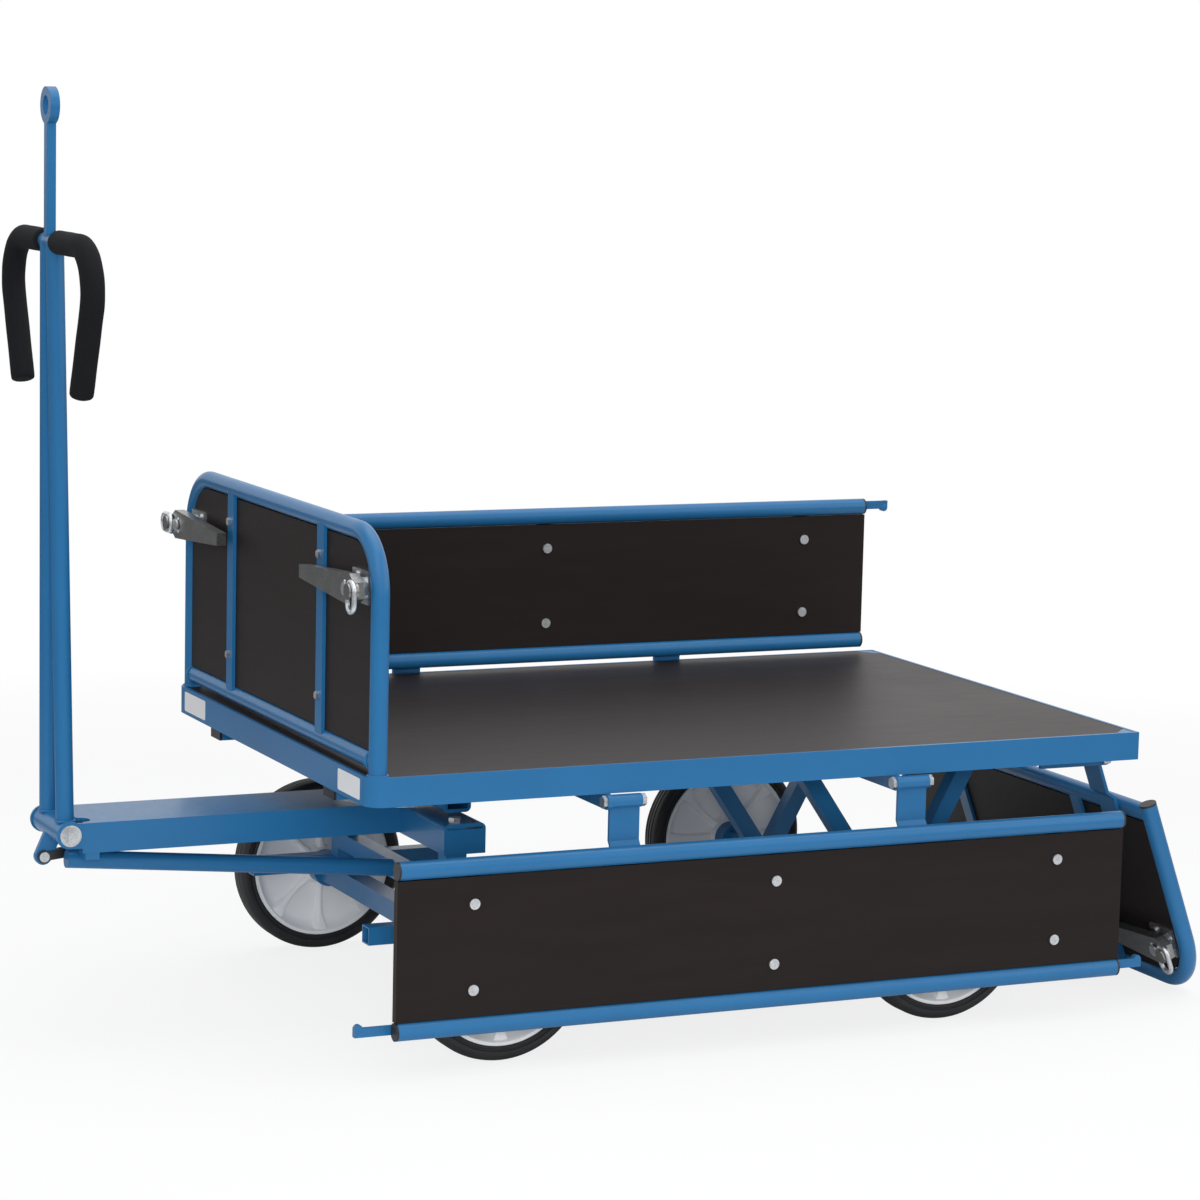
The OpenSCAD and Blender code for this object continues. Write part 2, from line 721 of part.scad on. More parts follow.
module side_caps() {
    for (s = [0, 1], z = [side_bottom_z, side_top_z]) mirror([s, 0, 0]) {
        difference() {
            rod_x(side_half - cap_t, side_half, side_y, z, tube_r);
            box(0, half_l, hook_y, hook_y + hook_t, z - hook_h, z + hook_h);
        }
        rod_x(side_half - cap_t - cap_depth, side_half - cap_t + eps, side_y, z, tube_in_r - plug_fit);
    }
}
// the near board: mirrored to -Y and folded down
module folded_near() {
    translate([0, -side_hinge_y, side_hinge_z]) rotate([side_fold, 0, 0])
        translate([0, side_hinge_y, -side_hinge_z]) mirror([0, 1, 0]) children();
}
module near_frame() { place() color(blue) folded_near() side_frame(); }
module near_panel() { place() color(black_ply) folded_near() side_panel(); }
module near_bolts() { place() color(zinc) folded_near() side_bolts(); }
module near_caps() { place() color(black_plastic) folded_near() side_caps(); }
module far_frame() { place() color(blue) side_frame(); }
module far_panel() { place() color(black_ply) side_panel(); }
module far_bolts() { place() color(zinc) side_bolts(); }
module far_caps() { place() color(black_plastic) side_caps(); }

// ---- latches: drawn with u along +X, w along +Z and height along +Y ---------------------------
module latch_base() {
    w0 = bar_back;
    translate([latch_post_gap, -base_half_h, w0]) cube([base_l, 2 * base_half_h, base_t]);
    translate([pin_u, 0, w0 + base_t - eps]) cylinder(h = boss_h + eps, r = boss_r);
    translate([pin_u, 0, w0 + base_t]) cylinder(h = stud_top - w0 - base_t, r = stud_r);
    translate([pin_u, 0, stud_top - stud_head_t]) cylinder(h = stud_head_t, r = stud_head_r);
    for (s = [-1, 1]) translate([base_l - 10, s * 14, w0 + base_t]) cylinder(h = 3, r = 5);
}
module lever_outline(inset) {
    polygon([[nose_u + inset, -nose_half + inset], [8, -lever_root_half + inset], [60, -lever_root_half + 3 + inset],
        [lever_end - inset, -lever_tip_half + inset], [lever_end - inset, lever_tip_half - inset],
        [60, lever_root_half - 3 - inset], [8, lever_root_half - inset], [nose_u + inset, nose_half - inset]]);
}
module latch_lever() {
    difference() {
        union() {
            difference() {
                translate([0, 0, lever_low]) linear_extrude(height = lever_top - lever_low) lever_outline(0);
                translate([0, 0, lever_low - 1]) linear_extrude(height = lever_face - lever_low + 1)
                    lever_outline(lever_skin);
            }
            translate([pin_u, 0, lever_low]) cylinder(h = lever_top - lever_low, r = lever_hub_r);
            translate([nose_u, 0, lever_face]) cylinder(h = lever_top - lever_face, r = nose_half);
            translate([nose_u, 0, lever_face]) cylinder(h = link_cap_low - lever_face + eps, r = link_boss_r);
            translate([nose_u, 0, link_cap_low]) cylinder(h = link_cap_t, r = link_cap_r);
        }
        translate([pin_u, 0, 0]) cylinder(h = lever_top + 1, r = stud_r + run_gap);
    }
}
module link_half() {
    rotate([0, 0, 90]) rotate_extrude(angle = 180) translate([link_bend_r, 0]) circle(r = link_wire_r, $fn = 24);
}
// a stadium link whose inner end lies round the boss, reaching along -u
module latch_link() {
    translate([nose_u, 0, link_plane]) {
        translate([-link_reach, 0, 0]) link_half();
        rotate([0, 0, 180]) link_half();
        for (s = [-1, 1]) translate([-link_reach - eps, s * link_bend_r, 0]) rotate([0, 90, 0])
            cylinder(h = link_reach + 2 * eps, r = link_wire_r, $fn = 24);
    }
}
// puts a latch drawn in u, w, height on a headboard post: s = -1 near, 1 far
module on_head(s) {
    translate([-post_x, s * (post_y - tube_r), latch_z])
        multmatrix([[0, 0, -1, 0], [-s, 0, 0, 0], [0, 1, 0, 0], [0, 0, 0, 1]]) children();
}
module on_tail(s) {
    folded_tail() translate([post_x, s * (post_y - tube_r), latch_z])
        multmatrix([[0, 0, 1, 0], [-s, 0, 0, 0], [0, 1, 0, 0], [0, 0, 0, 1]]) children();
}
// turns a link about its boss by a degrees
module swung(a) {
    translate([nose_u, 0, 0]) rotate([0, 0, a]) translate([-nose_u, 0, 0]) children();
}
module head_latch_bases() {
    place() color(zinc) for (s = [-1, 1]) on_head(s) latch_base();
}
module tail_latch_bases() {
    place() color(zinc) for (s = [-1, 1]) on_tail(s) latch_base();
}
module lever_head_near() { place() color(zinc) on_head(-1) latch_lever(); }
module lever_head_far() { place() color(zinc) on_head(1) latch_lever(); }
module lever_tail_near() { place() color(zinc) on_tail(-1) latch_lever(); }
module lever_tail_far() { place() color(zinc) on_tail(1) latch_lever(); }
module link_head_near() { place() color(zinc) on_head(-1) swung(90) latch_link(); }
module link_head_far() { place() color(zinc) on_head(1) latch_link(); }
module link_tail_near() { place() color(zinc) on_tail(-1) swung(-90) latch_link(); }
module link_tail_far() { place() color(zinc) on_tail(1) swung(-90) latch_link(); }

// ---- turntable and front axle --------------------------------------------------------------
module crossbeam() {
    z0 = beam_top - crossbeam_h;
    place() color(blue) difference() {
        union() {
            along_y(-crossbeam_half, crossbeam_half) difference() {
                union() {
                    translate([front_axle_x - crossbeam_w / 2, z0]) square([crossbeam_w, crossbeam_h - fold_r]);
                    translate([front_axle_x - crossbeam_w / 2 + fold_r, beam_top - fold_r - eps])
                        square([crossbeam_w - 2 * fold_r, fold_r + eps]);
                    for (s = [-1, 1]) translate([front_axle_x + s * (crossbeam_w / 2 - fold_r), beam_top - fold_r])
                        circle(r = fold_r);
                }
                translate([front_axle_x - crossbeam_w / 2 + sheet, z0 - 1])
                    square([crossbeam_w - 2 * sheet, crossbeam_h - sheet + 1]);
            }
            both_sides() box(front_axle_x - crossbeam_w / 2 + eps, front_axle_x + crossbeam_w / 2 - eps,
                crossbeam_half - sheet, crossbeam_half, z0, beam_top - fold_r);
        }
        rod_z(z0, beam_top + 1, front_axle_x, 0, kingpin_r + hole_gap);
    }
}
module lower_race() {
    place() color(zinc) difference() {
        rod_z(beam_top, beam_top + race_t, front_axle_x, 0, race_r);
        rod_z(beam_top - 1, beam_top + race_t + 1, front_axle_x, 0, race_in_r);
    }
}
module kingpin() {
    z_head = beam_top - sheet - kingpin_head_h;
    z_nut = bolster_bottom + sheet + gap;
    place() color(zinc) {
        hex_z(z_head, z_head + kingpin_head_h, front_axle_x, 0, kingpin_head_r);
        rod_z(z_head, z_nut + kingpin_head_h, front_axle_x, 0, kingpin_r);
        hex_z(z_nut, z_nut + kingpin_head_h, front_axle_x, 0, kingpin_head_r - 3);
        both_sides() hex_z(beam_top, beam_top + 7, front_axle_x - 10, crossbeam_half - 14, hex_r);
    }
}
module front_axle() {
    post_low = axle_top + skid_s;
    place() color(blue) {
        axle_beam(front_axle_x);
        both_sides() {
            difference() {
                box(front_axle_x - skid_half, front_axle_x + skid_half, skid_y - skid_s / 2, skid_y + skid_s / 2,
                    axle_top, post_low);
                box(front_axle_x - skid_half - 1, front_axle_x + skid_half + 1, skid_y - skid_s / 2 + skid_wall,
                    skid_y + skid_s / 2 - skid_wall, axle_top + skid_wall, post_low - skid_wall);
            }
            difference() {
                box(front_axle_x + post_front, front_axle_x + post_back, post_in,
                    crossbeam_half - sheet, post_low, beam_top - sheet);
                box(front_axle_x + post_front + rail_wall, front_axle_x + post_back - rail_wall,
                    post_in + rail_wall, crossbeam_half - sheet - rail_wall, post_low - 1, beam_top - sheet + 1);
            }
        }
        difference() {
            box(front_axle_x + post_front, front_axle_x + post_front + tie_s, -post_in, post_in,
                tie_z - tie_s / 2, tie_z + tie_s / 2);
            box(front_axle_x + post_front + skid_wall, front_axle_x + post_front + tie_s - skid_wall,
                -post_in - 1, post_in + 1, tie_z - tie_s / 2 + skid_wall, tie_z + tie_s / 2 - skid_wall);
        }
    }
}
module front_axle_nuts() {
    place() color(zinc) axle_nuts(front_axle_x);
}

// ---- pull beam, drawbar and gas spring -------------------------------------------------------
module stay_solid(r) {
    x0 = pivot_x + stay_front_dx;
    x1 = front_axle_x + post_front + tie_s / 2;
    run = x1 - x0;
    drop = stay_front_z - stay_back_z;
    translate([x0, stay_y, stay_front_z]) rotate([0, 90 + atan2(drop, run), 0])
        cylinder(h = sqrt(run * run + drop * drop), r = r);
}
module pull_beam() {
    back = front_axle_x - crossbeam_w / 2;
    place() color(blue) difference() {
        union() {
            both_sides() along_y(beam_half - beam_side_t, beam_half) {
                translate([pivot_x, beam_bottom + 7]) square([back - pivot_x, beam_top - beam_bottom - 7]);
                translate([pivot_x + 18, beam_bottom]) square([back - pivot_x - 18, beam_top - beam_bottom]);
                translate([pivot_x, pivot_z]) circle(r = beam_nose_r);
            }
            box(pivot_x + beam_front, back, -beam_half, beam_half, beam_top - beam_side_t, beam_top);
            box(pivot_x + beam_front + 2, pivot_x + beam_front + 22, -beam_half + 1, stay_y + 10,
                stay_front_z + 5, beam_bottom + 5);
            // anchor lugs of the gas spring
            for (s = [-1, 1]) box(anchor_x - 10, anchor_x + 10, spring_y + s * (cyl_r + 3.5) - 2,
                spring_y + s * (cyl_r + 3.5) + 2, anchor_z - 10, beam_top - 1);
        }
        both_sides() rod_y(beam_half - 10, beam_half + 10, pivot_x, pivot_z, pivot_r + hole_gap);
        both_sides() rod_z(beam_top - 10, beam_top + 1, pivot_x + beam_front, tube_foot_y, notch_r);
        rod_y(spring_y - 30, spring_y + 30, anchor_x, anchor_z, spring_pin_r + run_gap);
        stay_solid(tube_r);
    }
}
module stay() {
    place() color(blue) difference() {
        stay_solid(tube_r);
        translate([3, 0, 0]) stay_solid(tube_in_r);
        box(front_axle_x + post_front, front_axle_x + 100, stay_y - 30, stay_y + 30, 100, 250);
    }
}
module pivot_bolt() {
    place() color(zinc) {
        rod_y(-beam_half - pivot_washer_t - pivot_nut_h - 4, beam_half + pivot_washer_t, pivot_x, pivot_z, pivot_r);
        for (s = [-1, 1]) rod_y(min(s * beam_half, s * (beam_half + pivot_washer_t)),
            max(s * beam_half, s * (beam_half + pivot_washer_t)), pivot_x, pivot_z, pivot_washer_r);
        hex_y(-beam_half - pivot_washer_t - pivot_nut_h, -beam_half - pivot_washer_t, pivot_x, pivot_z, pivot_nut_r);
        hex_y(beam_half + pivot_washer_t, beam_half + pivot_washer_t + pivot_nut_h, pivot_x, pivot_z, pivot_nut_r);
    }
}
module drawbar_leg(r, z0, z1) {
    // one leg of the drawbar, leaning inwards and forwards, between the heights z0 and z1
    rise = handle_z - pivot_z;
    k0 = (z0 - pivot_z) / rise;
    k1 = (z1 - pivot_z) / rise;
    p0 = [pivot_x - k0 * tube_lean, tube_foot_y + k0 * (tube_head_y - tube_foot_y), z0];
    p1 = [pivot_x - k1 * tube_lean, tube_foot_y + k1 * (tube_head_y - tube_foot_y), z1];
    d = p1 - p0;
    run = sqrt(d[0] * d[0] + d[1] * d[1]);
    translate(p0) rotate([0, atan2(run, d[2]), atan2(d[1], d[0])])
        cylinder(h = sqrt(run * run + d[2] * d[2]), r = r);
}
module drawbar() {
    handle_x = pivot_x - tube_lean;
    place() color(blue) difference() {
        union() {
            rod_y(-sleeve_half, sleeve_half, pivot_x, pivot_z, sleeve_r);
            both_sides() drawbar_leg(tube_r, pivot_z, handle_z);
            along_y(spring_y - spring_lug_half, spring_y + spring_lug_half) {
                translate([spring_pin_x, spring_pin_z]) circle(r = spring_lug_r);
                polygon([[spring_pin_x - 11, spring_pin_z + 4.8], [spring_pin_x + 11, spring_pin_z - 4.8],
                    [pivot_x + 12, pivot_z - 5], [pivot_x - 13, pivot_z]]);
            }
        }
        both_sides() drawbar_leg(tube_in_r, pivot_z + 24, handle_z - 20);
        // vent holes of the welded legs
        both_sides() rod_x(pivot_x, pivot_x + 30, tube_foot_y, pivot_z + 40, vent_r);
        rod_y(-half_w, half_w, handle_x, handle_z, handle_r);
        rod_y(-sleeve_half - 1, sleeve_half + 1, pivot_x, pivot_z, pivot_r + run_gap);
        rod_y(spring_y - 10, spring_y + 10, spring_pin_x, spring_pin_z, spring_pin_r + hole_gap);
    }
}
// the handle: a straight middle, two arches and two legs, each a little thinner than the last
module handle_line(x, r, y0, len) {
    rod_y(y0, arch_y + handle_lap, x, handle_z, r);
    translate([x, arch_y, handle_z - arch_r]) rotate([90, 0, 90]) rotate([0, 0, 90 - arch_turn]) {
        rotate_extrude(angle = arch_turn) translate([arch_r, 0]) circle(r = r - handle_step);
        translate([arch_r, handle_lap, 0]) rotate([90, 0, 0])
            cylinder(h = len + handle_lap, r = r - 2 * handle_step);
    }
}
module handle() {
    handle_x = pivot_x - tube_lean;
    place() color(blue) {
        rod_y(-handle_grip_start, handle_grip_start, handle_x, handle_z, handle_r);
        both_sides() handle_line(handle_x, handle_r, handle_grip_start - 2, leg_len);
    }
}
module grips() {
    handle_x = pivot_x - tube_lean;
    place() color(foam) both_sides() difference() {
        handle_line(handle_x, grip_r, handle_grip_start, leg_len + grip_end_t);
        handle_line(handle_x, handle_r + handle_fit, handle_grip_start - 1, leg_len);
    }
}
module tow_eye() {
    place() color(blue) difference() {
        union() {
            box(eye_x - eye_t / 2, eye_x + eye_t / 2, -eye_t / 2, eye_t / 2, handle_z, eye_z - eye_r + 3);
            rod_x(eye_x - eye_t / 2, eye_x + eye_t / 2, 0, eye_z, eye_r);
        }
        rod_x(eye_x - eye_t, eye_x + eye_t, 0, eye_z, eye_hole_d / 2);
        rod_y(-50, 50, pivot_x - tube_lean, handle_z, handle_r);
        both_sides() drawbar_leg(tube_r, handle_z - 40, handle_z);
    }
}
module spring_pin() {
    place() color(zinc) {
        for (s = [0, 1]) translate([0, spring_y, 0]) mirror([0, s, 0]) {
            rod_y(fork_in, fork_half + 1, spring_pin_x, spring_pin_z, spring_pin_r);
            rod_y(fork_half, fork_half + 2, spring_pin_x, spring_pin_z, spring_pin_head_r);
        }
    }
}
module spring_rod() {
    place() color(black_plastic) translate([spring_pin_x, spring_y, spring_pin_z]) rotate([0, -spring_tilt, 0]) {
        difference() {
            union() {
                both_sides() {
                    rod_y(fork_in, fork_half, 0, 0, fork_r);
                    box(0, fork_start + 1, fork_in, fork_half, -fork_h, fork_h);
                }
                box(fork_start, fork_start + fork_web, -fork_half, fork_half, -fork_h, fork_h);
            }
            rod_y(-20, 20, 0, 0, spring_pin_r + run_gap);
        }
        rod_x(fork_start + fork_web - 1, rod_len, 0, 0, rod_r);
    }
}
module spring_cylinder() {
    place() color(black_plastic) translate([anchor_x, spring_y, anchor_z]) rotate([0, -spring_tilt, 0]) {
        difference() {
            rod_x(-cyl_len, -14, 0, 0, cyl_r);
            rod_x(-cyl_len + guide_t, -26, 0, 0, cyl_in_r);
            rod_x(-cyl_len - 1, -cyl_len + guide_t + 1, 0, 0, rod_r + run_gap);
        }
        difference() {
            union() {
                box(-15, 0, -6, 6, -8, 8);
                rod_y(-6, 6, 0, 0, 8);
            }
            rod_y(-7, 7, 0, 0, spring_pin_r - eps);
        }
        rod_y(-cyl_r - 7, cyl_r + 7, 0, 0, spring_pin_r);
    }
}

rim();
deck();
long_rails();
rail_plugs();
cross_members();
bolster();
upper_race();
hinge_brackets();
hinge_bolts();
rear_struts();
rear_axle();
rear_axle_nuts();
head_frame();
head_panel();
head_bolts();
head_latch_bases();
near_frame();
near_panel();
near_bolts();
near_caps();
far_frame();
far_panel();
far_bolts();
far_caps();
tail_frame();
tail_panel();
tail_bolts();
tail_caps();
tail_latch_bases();
lever_head_near();
link_head_near();
lever_head_far();
link_head_far();
lever_tail_near();
link_tail_near();
lever_tail_far();
link_tail_far();
crossbeam();
lower_race();
kingpin();
front_axle();
front_axle_nuts();
pull_beam();
stay();
pivot_bolt();
drawbar();
handle();
tow_eye();
grips();
spring_pin();
spring_rod();
spring_cylinder();
tyre_front_near();
centre_front_near();
tyre_front_far();
centre_front_far();
tyre_rear_near();
centre_rear_near();
tyre_rear_far();
centre_rear_far();
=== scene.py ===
"""Looks of a hand-drawn platform cart with folding boards, laid out as an add-on."""
import json
import math

import bmesh
import bpy
from bpy.props import FloatProperty, FloatVectorProperty, IntProperty, PointerProperty
from mathutils import Matrix, Vector


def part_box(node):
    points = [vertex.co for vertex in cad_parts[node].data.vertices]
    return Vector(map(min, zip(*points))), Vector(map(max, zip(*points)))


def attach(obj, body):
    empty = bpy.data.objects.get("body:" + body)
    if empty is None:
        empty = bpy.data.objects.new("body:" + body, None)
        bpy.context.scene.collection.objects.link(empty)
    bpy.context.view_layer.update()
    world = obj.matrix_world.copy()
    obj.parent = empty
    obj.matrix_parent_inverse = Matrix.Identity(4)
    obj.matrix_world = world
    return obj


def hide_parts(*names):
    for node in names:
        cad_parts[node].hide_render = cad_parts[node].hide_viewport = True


bl_info = {
    "name": "Folding platform cart",
    "version": (1, 0, 0),
    "blender": (4, 5, 0),
    "location": "View3D > Sidebar > Cart",
    "description": "Builds the finish, tyres, wheel centres, grips, welds and stage of a platform cart",
    "category": "Object",
}

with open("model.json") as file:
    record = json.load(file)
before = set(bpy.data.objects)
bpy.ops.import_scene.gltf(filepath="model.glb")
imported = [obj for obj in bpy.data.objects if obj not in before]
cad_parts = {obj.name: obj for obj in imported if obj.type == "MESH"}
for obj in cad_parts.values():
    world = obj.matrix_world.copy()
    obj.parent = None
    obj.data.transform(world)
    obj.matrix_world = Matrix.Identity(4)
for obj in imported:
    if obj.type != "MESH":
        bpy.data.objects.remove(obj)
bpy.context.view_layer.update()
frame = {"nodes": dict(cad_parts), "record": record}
MM = 0.001
# cross sections in millimetres
TYRE_BEAD = ((0, 3), (1.2, 1.2), (3, 0.6), (4.6, 1.8), (6, 1.8), (8, 0.2), (11, 0))  # out from the bead, in
TYRE_SHOULDER = ((8, 0.6), (6.6, 1.9), (4.4, 3.0), (2.2, 5.4), (0.8, 8.2), (0.2, 11))  # below the tread, in
TREAD_GROOVES = (8.5, 0.0, -8.5)
WHEEL_HUB = ((10.05, 0), (15, 0), (16, 2), (19, 2), (20, 0), (23.5, 0), (26, 2.5))  # radius, below the face
WHEEL_DISH = ((27.5, 13), (31, 7.5), (40, 5.0))  # radius, height
WHEEL_RIM = ((22, 4.6), (14, 7.5), (9, 13.5), (6.5, 19), (5, 20.6), (1, 20.8), (0, 19.8))  # in from the rim
GRIP_ENDS = ((0.0, 0.62), (0.0006, 0.80), (0.0018, 0.93), (0.0036, 0.985))  # metres in, share of the radius
LABELS = (("far", 0.268, 0.362), ("near", -0.366, -0.284))
LAMPS = (("key", (-2.0, -2.8, 3.4), 3.0, 32), ("top", (0.4, 0.2, 4.2), 4.0, 70),
         ("fill", (3.2, -2.4, 2.2), 3.0, 25), ("front", (-2.3, -5.0, 1.38), 1.4, 98))
TAIL_FOLD = math.radians(160)
FLOOR_CLEAR = 1.2  # metres from the middle at which the floor starts to fade
FLOOR_FADE = 0.55  # fade for each metre further out
FLOOR_LIFT = 0.82  # share of plain white that the camera sees on the floor under the cart
SOFT_LIGHT = 0.55
CAMERA_AT = (-2.27290, -4.93575, 1.34174)
CAMERA_TURN = (0.4328087, 0.1405889, 0.0234724)
CAMERA_LENS = 113.13
WHEELS = ("front_near", "front_far", "rear_near", "rear_far")
SIDES = ("near", "far")


# ---- sizes and colours ---------------------------------------------------------------------
class CartFinish(bpy.types.PropertyGroup):
    """Colours of the cart's finishes."""

    coat: FloatVectorProperty(
        name="Powder coat", description="Blue of the steel frame", subtype="COLOR",
        default=(0.018, 0.146, 0.342), min=0, max=1)
    film: FloatVectorProperty(
        name="Plywood film", description="Brown-black of the boards' phenolic film", subtype="COLOR",
        default=(0.0155, 0.0118, 0.0110), min=0, max=1)
    ply: FloatVectorProperty(
        name="Plywood edge", description="Sealed edge of the plies", subtype="COLOR",
        default=(0.022, 0.014, 0.010), min=0, max=1)
    zinc: FloatVectorProperty(
        name="Zinc plate", description="Latches, bolts and washers", subtype="COLOR",
        default=(0.62, 0.64, 0.66), min=0, max=1)
    # The lever colour is the zinc plate made darker, which paints shade and dark reflections onto the latch
    # levers.
    lever: FloatVectorProperty(
        name="Lever plate", description="Darker passivated plate of the latch levers", subtype="COLOR",
        default=(0.27, 0.275, 0.265), min=0, max=1)
    rubber: FloatVectorProperty(
        name="Tyre rubber", description="Black of the tyres", subtype="COLOR",
        default=(0.012, 0.012, 0.013), min=0, max=1)
    centre: FloatVectorProperty(
        name="Wheel centre", description="Pale grey moulded plastic", subtype="COLOR",
        default=(0.86, 0.865, 0.875), min=0, max=1)
    foam: FloatVectorProperty(
        name="Grip foam", description="Black closed-cell foam", subtype="COLOR",
        default=(0.0060, 0.0062, 0.0075), min=0, max=1)
    plastic: FloatVectorProperty(
        name="Black plastic", description="End caps and plugs", subtype="COLOR",
        default=(0.013, 0.013, 0.014), min=0, max=1)
    label: FloatVectorProperty(
        name="Blank label", description="White of the blank labels", subtype="COLOR",
        default=(0.80, 0.81, 0.82), min=0, max=1)


class CartSizes(bpy.types.PropertyGroup):
    """Sizes of the pieces made here, in metres."""

    rib_count: IntProperty(
        name="Ribs", description="Radial ribs on each face of a wheel centre", default=8, min=5, max=20)
    rib_thickness: FloatProperty(
        name="Rib thickness", description="Thickness of a wheel rib", unit="LENGTH", default=0.006)
    wheel_steps: IntProperty(
        name="Wheel steps", description="Segments round a wheel", default=128, min=32, max=256)
    grip_straight: FloatProperty(
        name="Grip start", description="Distance of a grip's inner end from the middle",
        unit="LENGTH", default=0.030)
    grip_arch: FloatProperty(
        name="Grip arch", description="Centre-line radius of the grip's bend", unit="LENGTH", default=0.060)
    grip_bend_at: FloatProperty(
        name="Grip bend", description="Distance of the bend from the middle", unit="LENGTH", default=0.127)
    grip_turn: FloatProperty(
        name="Grip turn", description="How far the grip turns down", subtype="ANGLE",
        default=math.radians(113.5))
    grip_leg: FloatProperty(
        name="Grip leg", description="Length of the grip's straight end", unit="LENGTH", default=0.123)
    bead: FloatProperty(
        name="Weld bead", description="Radius of a weld ripple", unit="LENGTH", default=0.0021)
    bead_pitch: FloatProperty(
        name="Weld pitch", description="Distance between weld ripples", unit="LENGTH", default=0.0024)
    curl: FloatProperty(
        name="Hook curl", description="Radius of the curl at a hook bar's end",
        unit="LENGTH", default=0.0058)
    label_height: FloatProperty(
        name="Label height", description="Height of the blank labels", unit="LENGTH", default=0.029)


# ---- shader expressions --------------------------------------------------------------------
class Value:
    """A socket of a paint; arithmetic on it adds Math nodes."""

    def __init__(self, paint, socket):
        self.paint = paint
        self.socket = socket

    def calc(self, operation, *others):
        inputs = dict(enumerate((self,) + others))
        return self.paint.node("ShaderNodeMath", {"operation": operation}, inputs)

    def __add__(self, other):
        return self.calc("ADD", other)

    def __radd__(self, other):
        return self.calc("ADD", other)

    def __mul__(self, other):
        return self.calc("MULTIPLY", other)

    def __rmul__(self, other):
        return self.calc("MULTIPLY", other)

    def __sub__(self, other):
        return self.calc("SUBTRACT", other)

    def __rsub__(self, other):
        return self.paint.node("ShaderNodeMath", {"operation": "SUBTRACT"}, {0: other, 1: self})

    def __gt__(self, other):
        return self.calc("GREATER_THAN", other)

    def power(self, other):
        return self.calc("POWER", other)

    def wave(self):
        return self.calc("SINE")

    def size(self):
        return self.calc("ABSOLUTE")


class Paint:
    """A procedural material on Object coordinates."""

    def __init__(self, name):
        self.material = bpy.data.materials.new(name)
        self.material.use_nodes = True
        self.tree = self.material.node_tree
        self.tree.nodes.clear()
        self.place = self.node("ShaderNodeTexCoord", output="Object")

    def node(self, kind, settings=None, inputs=None, output=0):
        made = self.tree.nodes.new(kind)
        for key, value in (settings or {}).items():
            setattr(made, key, value)
        for key, value in (inputs or {}).items():
            if isinstance(value, Value):
                self.tree.links.new(value.socket, made.inputs[key])
            else:
                made.inputs[key].default_value = value
        return Value(self, made.outputs[output])

    def noise(self, scale, detail=3.0, at=None):
        return self.node("ShaderNodeTexNoise", {},
                         {"Vector": at or self.place, "Scale": scale, "Detail": detail})

    def stretched(self, scale, turn=(0, 0, 0)):
        return self.node("ShaderNodeMapping", {}, {"Vector": self.place, "Scale": scale, "Rotation": turn})

    def along(self, direction):
        """How far a point lies along a direction, in metres."""
        return self.node("ShaderNodeVectorMath", {"operation": "DOT_PRODUCT"},
                         {0: self.place, 1: direction}, output="Value")

    def blend(self, factor, low, high):
        low = low if isinstance(low, Value) else (*low, 1)
        high = high if isinstance(high, Value) else (*high, 1)
        return self.node("ShaderNodeMix", {"data_type": "RGBA"}, {0: factor, 6: low, 7: high}, output=2)

    def bump(self, height, strength, distance):
        return self.node("ShaderNodeBump", {},
                         {"Height": height, "Strength": strength, "Distance": distance})

    def finish(self, constants, changing):
        """Ends the material: constants sit on the shader's own sockets, and what changes is linked."""
        shader = self.node("ShaderNodeBsdfPrincipled", {}, {**constants, **changing})
        return self.shown(shader)

    def shown(self, shader):
        """Wires a shader to the material's output."""
        out = self.tree.nodes.new("ShaderNodeOutputMaterial")
        self.tree.links.new(shader.socket, out.inputs["Surface"])
        return self.material


def shade(colour, k):
    return tuple(min(1.0, c * k) for c in colour)


def powder_coat(colour):
    """Glossy powder coat with orange peel and a little dust."""
    paint = Paint("blue_powder_coat")
    cloud = paint.noise(6.0, 4.0)
    peel = paint.noise(650.0, 2.0)
    dust = paint.noise(90.0, 5.0)
    tone = paint.blend(cloud * 0.8 + 0.1 * dust, shade(colour, 0.88), shade(colour, 1.12))
    rough = 0.24 + 0.14 * cloud + 0.10 * dust.power(2.0)
    return paint.finish(
        {"Specular IOR Level": 0.30, "Coat Roughness": 0.12},
        {"Base Color": tone, "Roughness": rough, "Coat Weight": 0.06 + 0.10 * cloud,
         "Normal": paint.bump(peel, 0.18, 0.0006)})


def film_board(name, film, edge, normal, middle, thickness, gloss):
    """Film-faced plywood: a faint mesh print on the faces and sealed plies at the edges."""
    paint = Paint(name)
    depth = paint.along(normal) - middle
    face = depth.size() > thickness / 2 - 0.0004
    lying = Vector((0, 1, 0)) if abs(normal[1]) < 0.5 else Vector((1, 0, 0))
    side = Vector(normal).cross(lying).normalized()
    other = Vector(normal).cross(side).normalized()
    pitch = 2 * math.pi / 0.0026
    weave = (paint.along(side) * pitch).wave() * (paint.along(other) * pitch).wave()
    lengthwise = max(abs(normal[1]), abs(normal[2])) > 0.5
    grain = paint.noise(5.0, 6.0, paint.stretched((1.0, 9.0, 9.0) if lengthwise else (9.0, 1.0, 9.0)))
    cloud = paint.noise(3.0, 3.0)
    scuff = paint.noise(60.0, 6.0, paint.stretched((0.25, 3.0, 3.0)))
    tone = paint.blend(grain * 0.75 + 0.25 * scuff, shade(film, 0.80), shade(film, 1.35))
    plies = (depth * (2 * math.pi / 0.0028)).wave() * 0.5 + 0.5
    rim = paint.blend(plies, shade(edge, 0.55), shade(edge, 1.25))
    rough = 0.38 + 0.10 * cloud + 0.10 * scuff + 0.04 * weave
    relief = weave * 0.5 + grain * 0.25 + 0.2 * scuff
    return paint.finish(
        {"Specular IOR Level": gloss},
        {"Base Color": paint.blend(face, rim, tone), "Roughness": rough,
         "Normal": paint.bump(relief, 0.10, 0.0005)})


